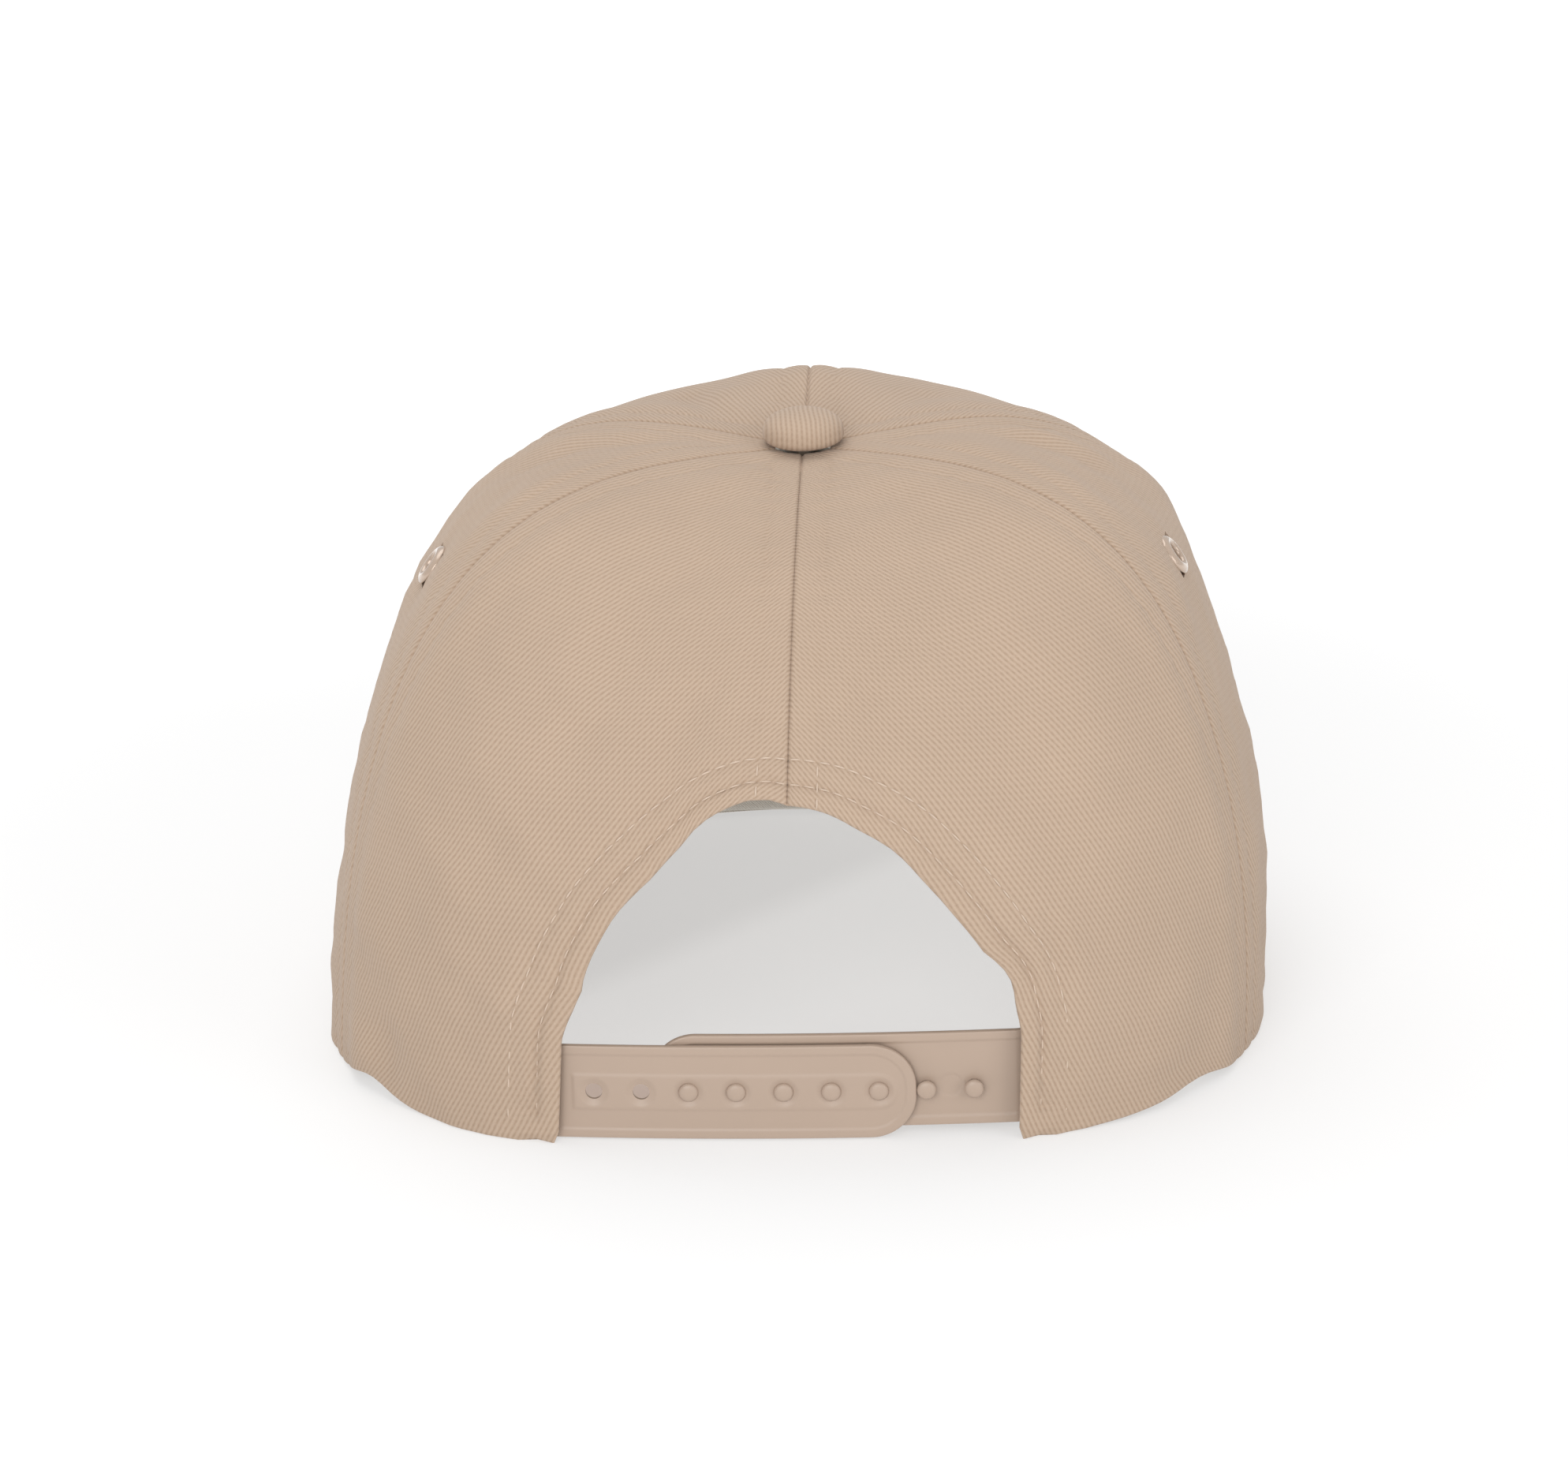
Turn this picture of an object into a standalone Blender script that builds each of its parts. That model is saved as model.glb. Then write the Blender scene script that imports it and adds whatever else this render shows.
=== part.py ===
"""A structured six-panel baseball cap with a moulded snap closure, built piece by piece.

Metres, +Z up. +Y points forwards over the brim, and +X to the wearer's right. The rim rests on z = 0,
and the origin is the middle of the whole cap's footprint. Left and right are the wearer's.
"""

import math

import bmesh
import bpy
from mathutils import Vector

MM = 0.001
GAP = 0.3 * MM

# Crown: half width, reach to the front and rear, and height to the top of the panels
CROWN_HALF_WIDTH = 98 * MM
CROWN_FRONT = 95 * MM
CROWN_REAR = 93 * MM
CROWN_HEIGHT = 117.5 * MM
RIM_EXPONENT_FRONT = 2.1
RIM_EXPONENT_REAR = 2.86
# How boxy the crown's side view is towards the side, front and rear: its reach, then its height
REACH_EXPONENTS = (3.6, 3.0, 2.0)
HEIGHT_EXPONENTS = (2.35, 3.15, 2.8)
SHOULDER_LIFT_SIDE = 5 * MM
SHOULDER_LIFT_FRONT = 10 * MM
SHOULDER_PEAK = 1.13
SHOULDER_POWER = 1.5
# The soft crown stands a little over to the wearer's right: sideways shift per unit of height
CROWN_LEAN = 0.0285
TOP_HOLE_REACH = 0.06
PANEL_ROWS = 14
PANEL_RISES = [i / PANEL_ROWS for i in range(PANEL_ROWS + 1)]
LINING_FOOT = 0.02

# Seams: angle round the crown from +X, at the rim and at the top
REAR_SIDE_SEAM = (math.radians(-22), math.radians(-22))
FRONT_SIDE_SEAM = (math.radians(30), math.radians(20))
FRONT_SEAM = (math.radians(90), math.radians(90))
REAR_SEAM = (math.radians(-90), math.radians(-90))

# Cloth layers, as depths below the crown's outer surface
PANEL_THICKNESS = 0.9 * MM
BUCKRAM_DEPTH = (1.3 * MM, 2.0 * MM)
FRONT_TAPE_DEPTH = (2.4 * MM, 2.9 * MM)
REAR_TAPE_DEPTH = (1.3 * MM, 1.8 * MM)
FACING_DEPTH = (1.4 * MM, 1.9 * MM)
SWEATBAND_DEPTH = 3.4 * MM
SWEATBAND_PLY = 0.6 * MM
INTERLINING_THICKNESS = 0.8 * MM
SWEATBAND_BOTTOM = 1.5 * MM
SWEATBAND_TOP = 32 * MM
TAPE_HALF_WIDTH = 8 * MM
TAPE_HALF_ANGLE_LIMIT = math.radians(14)
# Shares of the sweatband's length from its ends: pressed fully inwards, and back at its own depth
BAND_TUCK_FULL = 0.045
BAND_TUCK_REACH = 0.07

# Rear arch: the hem's inner edge, the straight part of its side, and its crown
HEM_X = 46.5 * MM
HEM_STRAIGHT = 22 * MM
ARCH_TOP = 68 * MM
ARCH_HEIGHT_POWER = 1.4
ARCH_STRAIGHT_SHARE = 0.2
ARCH_PULL_POWER = 1.5
FACING_WIDTH = 12 * MM

# Snap closure: both straps are alike, one with holes and one with pegs
STRAP_PIVOT_X = 45.5 * MM
STRAP_PITCH = 9.5 * MM
STRAP_SNAPS = 7
STRAP_FIRST_SNAP = 7.5 * MM
STRAP_LENGTH = 72 * MM
STRAP_HEIGHT = 20.2 * MM
STRAP_THICKNESS = 1.3 * MM
STRAP_BOW = 1.8 * MM
HOLE_STRAP_DEPTH = 2.3 * MM
PEG_STRAP_DEPTH = HOLE_STRAP_DEPTH + STRAP_THICKNESS + GAP
HOLE_STRAP_BOTTOM = 0.3 * MM
PEG_STRAP_BOTTOM = 2.1 * MM
SNAP_HEIGHT = HOLE_STRAP_BOTTOM + STRAP_HEIGHT / 2
HOLE_RADIUS = 1.75 * MM
COUNTERSINK_RADIUS = 3.0 * MM
COUNTERSINK_DEPTH = 0.6 * MM
PEG_RADIUS = 1.4 * MM
PEG_LENGTH = 1.6 * MM
TAB_LENGTH = 11 * MM
# Of a cell's sixteen walls, the ones it shares with its neighbours
NEAR_WALLS = range(8, 12)
FAR_WALLS = range(0, 4)

# Brim: it turns a little about a line across the cap, through the middle of its curved seam
BRIM_SEAM_CLEARANCE = 1.3 * MM
BRIM_CORNER_ANGLE = math.radians(25)
BRIM_HALF_WIDTH = 92 * MM
BRIM_CORNER_Y = 42 * MM
BRIM_TIP_Y = 165 * MM
BRIM_EXPONENT = 2.6
BRIM_ARCHING = 6 * MM
BRIM_BOTTOM = 0.4 * MM
BRIM_COVER = 0.8 * MM
BRIM_BOARD = 1.6 * MM
BRIM_BOARD_INSET = 2.5 * MM
BRIM_BOARD_SKIP = 0.03
BRIM_LIP = 1.9 * MM
BRIM_TRIM_LIMIT = 0.4

# Button on top, and the vent eyelets in the side panels
BUTTON_RADIUS = 8.4 * MM
BUTTON_HEIGHT = 6.0 * MM
BUTTON_CLOTH = 0.8 * MM
BUTTON_METAL = 0.5 * MM
BUTTON_BASE = CROWN_HEIGHT + 1.7 * MM
BUTTON_TUCK = 2.2 * MM
BUTTON_POWER = 0.8
BUTTON_STEPS = 5
SHELL_FOOT = math.radians(12)
RIVET_TOP = 3.4 * MM
RIVET_SHANK = 1.6 * MM
RIVET_RADIUS = 7.2 * MM
RIVET_DEPTH = 4.0 * MM
RIVET_PLATE = 0.6 * MM
EYELET_ANGLE = math.radians(-5)
EYELET_RISE = 0.56
EYELET_HOLE = 2.5 * MM
EYELET_BARREL = 3.0 * MM
EYELET_FLANGE = 4.7 * MM
EYELET_WASHER = 5.0 * MM
EYELET_WASHER_DEPTH = (1.0 * MM, 1.5 * MM)
EYELET_SEAT = 0.3 * MM
EYELET_HEIGHT = 1.5 * MM
EYELET_BEVEL = 0.5 * MM
EYELET_FOOT = 1.9 * MM
CUTTER_REACH = 4 * MM

# The crown's own centre sits behind the origin, so that the origin is the footprint's middle
REAR_EXTENT = 89.0 * MM
CROWN_CENTRE_Y = -(BRIM_TIP_Y - REAR_EXTENT) / 2

CLOTH = ((0.53, 0.40, 0.30), 0.9, 0.0)
LINING = ((0.80, 0.78, 0.74), 0.9, 0.0)
PLASTIC = ((0.57, 0.43, 0.33), 0.35, 0.0)
ENAMEL = ((0.60, 0.46, 0.36), 0.25, 0.2)
STEEL = ((0.60, 0.60, 0.60), 0.3, 1.0)
BOARD = ((0.85, 0.85, 0.83), 0.5, 0.0)


# ---------------------------------------------------------------- scene helpers

def clear_scene():
    for item in list(bpy.data.objects):
        bpy.data.objects.remove(item)


def make_material(name, look):
    colour, roughness, metallic = look
    material = bpy.data.materials.new(name)
    material.use_nodes = True
    shader = material.node_tree.nodes["Principled BSDF"]
    shader.inputs["Base Color"].default_value = (*colour, 1)
    shader.inputs["Roughness"].default_value = roughness
    shader.inputs["Metallic"].default_value = metallic
    material.diffuse_color = (*colour, 1)
    return material


def add_object(name, vertices, faces, look, origin=(0, 0, 0)):
    """A new object from vertices in world space, its own origin at the given point."""
    origin = Vector(origin)
    mesh = bpy.data.meshes.new(name)
    mesh.from_pydata([Vector(v) - origin for v in vertices], [], faces)
    shape = bmesh.new()
    shape.from_mesh(mesh)
    bmesh.ops.remove_doubles(shape, verts=shape.verts, dist=1e-6)
    bmesh.ops.recalc_face_normals(shape, faces=shape.faces)
    bmesh.ops.triangulate(shape, faces=shape.faces)
    shape.to_mesh(mesh)
    shape.free()
    mesh.shade_smooth()
    mesh.set_sharp_from_angle(angle=math.radians(40))
    mesh.materials.append(make_material(name, look))
    item = bpy.data.objects.new(name, mesh)
    item.location = origin
    bpy.context.scene.collection.objects.link(item)
    return item


def lerp(a, b, share):
    return a + (b - a) * share


# ---------------------------------------------------------------- crown surface

def signed_power(value, power):
    return math.copysign(abs(value) ** power, value)


def rim_point(angle):
    """A point on the crown's rim, seen from above, about the crown's own centre."""
    c, s = math.cos(angle), math.sin(angle)
    rear = s < 0
    power = 2 / (RIM_EXPONENT_REAR if rear else RIM_EXPONENT_FRONT)
    reach = CROWN_REAR if rear else CROWN_FRONT
    return CROWN_HALF_WIDTH * signed_power(c, power), reach * signed_power(s, power)


def by_direction(angle, side, front, rear):
    """Mixes three values by where an angle points: to the side, the front or the rear."""
    c, s = math.cos(angle), math.sin(angle)
    return side * c * c + front * max(0, s) ** 2 + rear * max(0, -s) ** 2


def reach_and_height(angle, rise):
    """The crown's side view: its share of the rim's reach and of the height.

    The rise is 0 at the rim and 1 at the small hole in the top, and its steps are nearly even.
    """
    reach_exponent = by_direction(angle, *REACH_EXPONENTS)
    hole_turn = math.acos(TOP_HOLE_REACH ** (reach_exponent / 2)) / (math.pi / 2)
    hole = 0.5 - math.sin(math.asin(1 - 2 * hole_turn) / 3)
    eased = 3 * (hole * rise) ** 2 - 2 * (hole * rise) ** 3
    turn = math.pi / 2 * eased
    reach = max(math.cos(turn), 0) ** (2 / reach_exponent)
    height = max(math.sin(turn), 0) ** (2 / by_direction(angle, *HEIGHT_EXPONENTS))
    return reach, height


def outer_point(angle, rise):
    """A point on the crown's outer surface."""
    x, y = rim_point(angle)
    reach, height = reach_and_height(angle, rise)
    lift = by_direction(angle, SHOULDER_LIFT_SIDE, SHOULDER_LIFT_FRONT, 0)
    share = reach / SHOULDER_PEAK
    swell = (share * math.exp(1 - share)) ** SHOULDER_POWER * (1 - reach ** 4)
    z = CROWN_HEIGHT * height + lift * swell
    return Vector((x * reach + CROWN_LEAN * z, CROWN_CENTRE_Y + y * reach, z))


def crown_normal(angle, rise):
    step = 1e-3
    low, high = max(rise - step, 0), rise + step
    along = outer_point(angle + step, rise) - outer_point(angle - step, rise)
    up = outer_point(angle, high) - outer_point(angle, low)
    return along.cross(up).normalized()


def crown_point(angle, rise, depth):
    """A point that lies a given depth under the crown's outer surface, level with it at the rim."""
    inwards = -crown_normal(angle, rise)
    if rise == 0:
        inwards.z = 0
        inwards.normalize()
    return outer_point(angle, rise) + inwards * depth


def rise_at_height(angle, height):
    """The rise at which the lower part of the crown's surface reaches a height."""
    low, high = 0.0, 0.75
    for _ in range(40):
        middle = (low + high) / 2
        if outer_point(angle, middle).z < height:
            low = middle
        else:
            high = middle
    return (low + high) / 2


def locate_rear(x, height):
    """The angle and rise of the rear surface's point at a height, x away from the leaning middle."""
    low, high = math.radians(-90), math.radians(-5)
    for _ in range(40):
        middle = (low + high) / 2
        point = outer_point(middle, rise_at_height(middle, height))
        if point.x - CROWN_LEAN * point.z < abs(x):
            low = middle
        else:
            high = middle
    angle = low if x >= 0 else -math.pi - low
    return angle, rise_at_height(angle, height)


# ---------------------------------------------------------------- sheets of cloth on the crown

def sheet_solid(outer_rows, inner_rows):
    """Vertices and faces of a closed sheet between two grids of points of the same size."""
    rows, columns = len(outer_rows), len(outer_rows[0])
    vertices = [p for row in outer_rows for p in row] + [p for row in inner_rows for p in row]
    inner = rows * columns
    faces = []
    for i in range(rows - 1):
        for j in range(columns - 1):
            a, b = i * columns + j, (i + 1) * columns + j
            faces.append((a, a + 1, b + 1, b))
            faces.append((inner + a, inner + b, inner + b + 1, inner + a + 1))
    border = list(range(columns))
    border += [i * columns + columns - 1 for i in range(1, rows)]
    border += [(rows - 1) * columns + j for j in range(columns - 2, -1, -1)]
    border += [i * columns for i in range(rows - 2, 0, -1)]
    for a, b in zip(border, border[1:] + border[:1]):
        faces.append((a, b, inner + b, inner + a))
    return vertices, faces


def sheet_on_crown(name, places, depths, look):
    """A sheet between two depths, from a grid of (angle, rise) places."""
    outer = [[crown_point(angle, rise, depths[0]) for angle, rise in row] for row in places]
    inner = [[crown_point(angle, rise, depths[1]) for angle, rise in row] for row in places]
    return add_object(name, *sheet_solid(outer, inner), look)


def seam_angle(seam, rise):
    return lerp(seam[0], seam[1], rise)


def mirrored(seam):
    return tuple(math.pi - angle for angle in seam)


def seam_trim(angle, rise, clearance):
    """The angle that a sideways clearance takes at a seam. The rim's outline is squared off, so
    angles crowd together towards the centre line, where the trim is the smaller for it."""
    share = clearance / (CROWN_HALF_WIDTH * reach_and_height(angle, rise)[0])
    if abs(math.cos(angle)) > 0.01:
        return share
    return share ** ((RIM_EXPONENT_REAR if angle < 0 else RIM_EXPONENT_FRONT) / 2)


def between_seams(first, second, share, rise, clearance):
    """The angle at a share of the way between two seams, which both keep their clearance."""
    start, finish = seam_angle(first, rise), seam_angle(second, rise)
    start += seam_trim(start, rise, clearance)
    finish -= seam_trim(finish, rise, clearance)
    return lerp(start, finish, share)


def plain_panel_places(first, second, columns, rises=PANEL_RISES, clearance=GAP / 2):
    places = []
    for rise in rises:
        shares = [j / columns for j in range(columns + 1)]
        places.append([(between_seams(first, second, s, rise, clearance), rise) for s in shares])
    return places


def arch_outline(share):
    """The arch's edge on the right half, as (x, height): share 0 at the rim and 1 at its top."""
    if share < ARCH_STRAIGHT_SHARE:
        return HEM_X, HEM_STRAIGHT * share / ARCH_STRAIGHT_SHARE
    turn = math.pi / 2 * (share - ARCH_STRAIGHT_SHARE) / (1 - ARCH_STRAIGHT_SHARE)
    climb = math.sin(turn) ** ARCH_HEIGHT_POWER
    return HEM_X * max(math.cos(turn), 0), lerp(HEM_STRAIGHT, ARCH_TOP, climb)


def rear_panel_places(columns, rows, rim_columns):
    """The right rear panel, from the centre seam to the side seam; its lower edge follows the arch."""
    places = []
    rim_start = 1 - rim_columns / columns
    hem_angle = locate_rear(HEM_X, 0)[0]
    for i in range(rows + 1):
        climb = i / rows
        row = []
        for j in range(columns + 1):
            share = j / columns
            if share < rim_start:
                edge_angle, edge_rise = locate_rear(*arch_outline(1 - share / rim_start))
            else:
                edge_angle = lerp(hem_angle, REAR_SIDE_SEAM[0], (share - rim_start) / (1 - rim_start))
                edge_rise = 0.0
            rise = lerp(edge_rise, 1, climb)
            plain = between_seams(REAR_SEAM, REAR_SIDE_SEAM, share, rise, GAP / 2)
            plain_at_edge = between_seams(REAR_SEAM, REAR_SIDE_SEAM, share, edge_rise, GAP / 2)
            held = (1 - climb) ** ARCH_PULL_POWER
            pull = 0 if j in (0, columns) else (edge_angle - plain_at_edge) * held
            row.append((plain + pull, rise))
        places.append(row)
    return places


def mirror_places(places):
    return [[(math.pi - angle, rise) for angle, rise in row] for row in places]


def make_panels():
    depths = (0.0, PANEL_THICKNESS)
    front = plain_panel_places(FRONT_SIDE_SEAM, FRONT_SEAM, 9)
    side = plain_panel_places(REAR_SIDE_SEAM, FRONT_SIDE_SEAM, 8)
    rear = rear_panel_places(12, PANEL_ROWS, 5)
    for name, places in (("front", front), ("side", side), ("rear", rear)):
        sheet_on_crown(name + "_panel_right", places, depths, CLOTH)
        sheet_on_crown(name + "_panel_left", mirror_places(places), depths, CLOTH)


def make_buckram():
    rises = [LINING_FOOT] + PANEL_RISES[1:-1]
    places = plain_panel_places(FRONT_SIDE_SEAM, FRONT_SEAM, 9, rises, clearance=0.8 * MM)
    sheet_on_crown("buckram_right", places, BUCKRAM_DEPTH, LINING)
    sheet_on_crown("buckram_left", mirror_places(places), BUCKRAM_DEPTH, LINING)


def tape_places(seam, low):
    places = []
    for rise in [low] + [r for r in PANEL_RISES[:-1] if r > low + LINING_FOOT]:
        angle = seam_angle(seam, rise)
        reach = reach_and_height(angle, rise)[0]
        half = min(TAPE_HALF_WIDTH / (CROWN_HALF_WIDTH * reach), TAPE_HALF_ANGLE_LIMIT)
        places.append([(angle - half, rise), (angle, rise), (angle + half, rise)])
    return places


def make_seam_tapes():
    arch_rise = locate_rear(0, ARCH_TOP + FACING_WIDTH + 2 * MM)[1]
    tapes = (
        ("seam_tape_front", FRONT_SEAM, LINING_FOOT, FRONT_TAPE_DEPTH),
        ("seam_tape_front_side_right", FRONT_SIDE_SEAM, LINING_FOOT, FRONT_TAPE_DEPTH),
        ("seam_tape_front_side_left", mirrored(FRONT_SIDE_SEAM), LINING_FOOT, FRONT_TAPE_DEPTH),
        ("seam_tape_rear_side_right", REAR_SIDE_SEAM, LINING_FOOT, REAR_TAPE_DEPTH),
        ("seam_tape_rear_side_left", mirrored(REAR_SIDE_SEAM), LINING_FOOT, REAR_TAPE_DEPTH),
        ("seam_tape_rear", REAR_SEAM, arch_rise, REAR_TAPE_DEPTH),
    )
    for name, seam, low, depths in tapes:
        sheet_on_crown(name, tape_places(seam, low), depths, LINING)


def make_arch_facing():
    """The tape that backs the arch's hem, all the way round the opening."""
    steps = 12
    edge, far = [], []
    for k in range(2 * steps + 1):
        share = 1 - abs(k - steps) / steps
        side = -1 if k < steps else 1
        x, height = arch_outline(share)
        ahead, behind = arch_outline(min(share + 0.01, 1)), arch_outline(max(share - 0.01, 0))
        away = Vector((ahead[1] - behind[1], behind[0] - ahead[0])).normalized()
        for line, width in ((edge, GAP), (far, FACING_WIDTH)):
            place_x = max(x + away.x * width, 0)
            line.append(locate_rear(side * place_x, max(height + away.y * width, 0.1 * MM)))
    for line in (edge, far):
        line[steps] = (math.radians(-90), line[steps][1])
    sheet_on_crown("arch_facing", [edge, far], FACING_DEPTH, CLOTH)


# ---------------------------------------------------------------- sweatband

def sweatband_end():
    return locate_rear(HEM_X + 1.5 * MM, SWEATBAND_BOTTOM)[0]


def tuck_share(place):
    """How far the band is pressed inwards, behind the straps' sewn ends, at a share of its length."""
    near_end = min(place, 1 - place)
    if near_end < BAND_TUCK_FULL:
        return 1
    left = 1 - min(near_end / BAND_TUCK_REACH, 1)
    return left * left * (3 - 2 * left)


def band_solid(name, section, look, steps=44):
    """Sweeps a closed section of (depth, height) points round the inside of the crown."""
    start = sweatband_end()
    finish = math.pi - start
    rings = []
    for k in range(steps + 1):
        angle = lerp(start, finish, k / steps)
        strap = HOLE_STRAP_DEPTH if k > steps / 2 else PEG_STRAP_DEPTH
        inwards = tuck_share(k / steps) * (strap + STRAP_THICKNESS + GAP - SWEATBAND_DEPTH)
        rings.append([crown_point(angle, rise_at_height(angle, height), depth + inwards)
                      for depth, height in section])
    count = len(section)
    vertices = [p for ring in rings for p in ring]
    faces = [tuple(range(count)), tuple(steps * count + i for i in range(count))[::-1]]
    for k in range(steps):
        for i in range(count):
            a, b = k * count + i, k * count + (i + 1) % count
            faces.append((a, b, b + count, a + count))
    return add_object(name, vertices, faces, look)


def make_sweatband():
    """A folded cloth band, open downwards, with a stiffer strip inside its fold."""
    ply, core = SWEATBAND_PLY, INTERLINING_THICKNESS
    outside = SWEATBAND_DEPTH
    inside = outside + 2 * ply + 2 * GAP + core
    bottom, top = SWEATBAND_BOTTOM, SWEATBAND_TOP
    fold = [(outside, bottom), (outside, top), (inside, top), (inside, bottom),
            (inside - ply, bottom), (inside - ply, top - ply), (outside + ply, top - ply),
            (outside + ply, bottom)]
    band_solid("sweatband", fold, LINING)
    near = outside + ply + GAP
    low, high = bottom + 1 * MM, top - ply - GAP
    strip = [(near, low), (near, high), (near + core, high), (near + core, low)]
    band_solid("sweatband_interlining", strip, BOARD)


# ---------------------------------------------------------------- snap closure

def strap_line(x):
    """The line on which the straps lie, seen from above: bowed a little between the two hems."""
    hem_y = outer_point(locate_rear(HEM_X, 0)[0], 0).y
    return hem_y - STRAP_BOW * (1 - (x / HEM_X) ** 2)


def cell_border(near, far, bottom, top):
    """Sixteen points round a rectangular cell, from its far bottom corner, anticlockwise."""
    quarter = [lerp(bottom, top, k / 4) for k in range(5)]
    across = [lerp(far, near, k / 4) for k in (1, 2, 3)]
    right = [(far, z) for z in quarter]
    upper = [(s, top) for s in across]
    left = [(near, z) for z in reversed(quarter)]
    lower = [(s, bottom) for s in reversed(across)]
    return right + upper + left + lower


def tip_border(near, tip, bottom, top):
    """Sixteen points round the last cell, whose far side is a half circle."""
    radius = (top - bottom) / 2
    middle = (top + bottom) / 2
    centre = tip - radius
    turns = [math.radians(-60 + 30 * k) for k in range(5)]
    arc = [(centre + radius * math.cos(t), middle + radius * math.sin(t)) for t in turns]
    steep = math.radians(75)
    corner_up = [(centre + radius * math.cos(steep), middle + radius * math.sin(steep)),
                 (centre, top), (lerp(near, centre, 0.5), top)]
    left = [(near, lerp(top, bottom, k / 4)) for k in range(5)]
    corner_down = [(s, 2 * middle - z) for s, z in reversed(corner_up)]
    return arc + corner_up + left + corner_down


def ring_points(centre, height, radius, border):
    """Points on a circle, each facing its point of the border."""
    start = math.atan2(border[0][1] - height, border[0][0] - centre)
    count = len(border)
    turns = [start + math.tau * k / count for k in range(count)]
    return [(centre + radius * math.cos(t), height + radius * math.sin(t)) for t in turns]


def quad_band(first, second):
    count = len(first)
    return [(first[k], first[(k + 1) % count], second[(k + 1) % count], second[k])
            for k in range(count)]


def at_depth(points, depth):
    return [(s, depth, z) for s, z in points]


def strap_cells(bottom, top):
    """Each snap's place along the strap, with the border of its cell."""
    cells = []
    for k in range(STRAP_SNAPS):
        centre = STRAP_FIRST_SNAP + k * STRAP_PITCH
        start = centre - STRAP_PITCH / 2
        if k < STRAP_SNAPS - 1:
            border = cell_border(start, start + STRAP_PITCH, bottom, top)
        else:
            border = tip_border(start, STRAP_LENGTH, bottom, top)
        cells.append((centre, border))
    return cells


def hole_faces(add, centre, border, outer, inner):
    """A cell's two faces, with a countersunk hole between them."""
    mouth = add(at_depth(ring_points(centre, SNAP_HEIGHT, COUNTERSINK_RADIUS, border), outer[0]))
    narrow = ring_points(centre, SNAP_HEIGHT, HOLE_RADIUS, border)
    throat = add(at_depth(narrow, outer[0] + COUNTERSINK_DEPTH))
    back = add(at_depth(narrow, inner[0]))
    return (quad_band(outer[1], mouth) + quad_band(mouth, throat) + quad_band(throat, back)
            + quad_band(back, inner[1]))


def peg_faces(add, centre, border, outer, inner):
    """A cell's two faces, with a peg that stands on the outer one."""
    circle = ring_points(centre, SNAP_HEIGHT, PEG_RADIUS, border)
    foot = add(at_depth(circle, outer[0]))
    head = add(at_depth(circle, outer[0] - PEG_LENGTH))
    return quad_band(outer[1], foot) + quad_band(foot, head) + [tuple(head), tuple(inner[1])]


def root_faces(add, depth, heights):
    """The strap's rounded end, from the first cell's near side round the pivot line."""
    radius = STRAP_THICKNESS / 2
    turns = [math.radians(t) for t in range(0, 181, 30)]
    near = STRAP_FIRST_SNAP - STRAP_PITCH / 2
    loop = [(near, depth)]
    loop += [(-math.sin(t) * radius, depth + radius - math.cos(t) * radius) for t in turns]
    loop.append((near, depth + STRAP_THICKNESS))
    lines = [add([(s, d, z) for s, d in loop]) for z in heights]
    faces = [tuple(lines[0]), tuple(lines[-1])]
    for low, high in zip(lines, lines[1:]):
        faces.extend((low[k], low[k + 1], high[k + 1], high[k]) for k in range(len(loop) - 1))
    return faces


def make_strap(name, side, depth, bottom, snap_faces):
    """A strap that grows from its pivot at side * STRAP_PIVOT_X towards the other hem."""
    top = bottom + STRAP_HEIGHT
    vertices, faces = [], []

    def add(points):
        first = len(vertices)
        for s, d, z in points:
            x = side * (STRAP_PIVOT_X - s)
            vertices.append((x, strap_line(x) + d, z))
        return list(range(first, len(vertices)))

    cells = strap_cells(bottom, top)
    for centre, border in cells:
        outer = (depth, add(at_depth(border, depth)))
        inner = (depth + STRAP_THICKNESS, add(at_depth(border, depth + STRAP_THICKNESS)))
        faces.extend(snap_faces(add, centre, border, outer, inner))
        joined = list(NEAR_WALLS)
        if border is not cells[-1][1]:
            joined.extend(FAR_WALLS)
        walls = quad_band(outer[1], inner[1])
        faces.extend(wall for k, wall in enumerate(walls) if k not in joined)
    faces.extend(root_faces(add, depth, [lerp(bottom, top, k / 4) for k in range(5)]))
    pivot = (side * STRAP_PIVOT_X, strap_line(STRAP_PIVOT_X) + depth + STRAP_THICKNESS / 2, 0)
    return add_object(name, vertices, faces, PLASTIC, origin=pivot)


def make_strap_tab(name, side, depth, bottom):
    """The sewn end of a strap, between the rear panel's hem and the sweatband."""
    slant = crown_normal(locate_rear(HEM_X, 0)[0], 0).x
    start = STRAP_PIVOT_X + STRAP_THICKNESS / 2 + GAP + (depth + STRAP_THICKNESS) * slant
    columns = 4
    top = bottom + STRAP_HEIGHT
    outer, inner = [], []
    for height in (bottom, lerp(bottom, top, 0.5), top):
        outer_row, inner_row = [], []
        for k in range(columns + 1):
            x = start + TAB_LENGTH * k / columns
            angle, rise = locate_rear(side * x, height)
            outer_row.append(crown_point(angle, rise, depth))
            inner_row.append(crown_point(angle, rise, depth + STRAP_THICKNESS))
        outer.append(outer_row)
        inner.append(inner_row)
    return add_object(name, *sheet_solid(outer, inner), PLASTIC)


def make_closure():
    make_strap("hole_strap", -1, HOLE_STRAP_DEPTH, HOLE_STRAP_BOTTOM, hole_faces)
    make_strap("peg_strap", 1, PEG_STRAP_DEPTH, PEG_STRAP_BOTTOM, peg_faces)
    make_strap_tab("hole_strap_tab", -1, HOLE_STRAP_DEPTH, HOLE_STRAP_BOTTOM)
    make_strap_tab("peg_strap_tab", 1, PEG_STRAP_DEPTH, PEG_STRAP_BOTTOM)


# ---------------------------------------------------------------- brim

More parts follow.
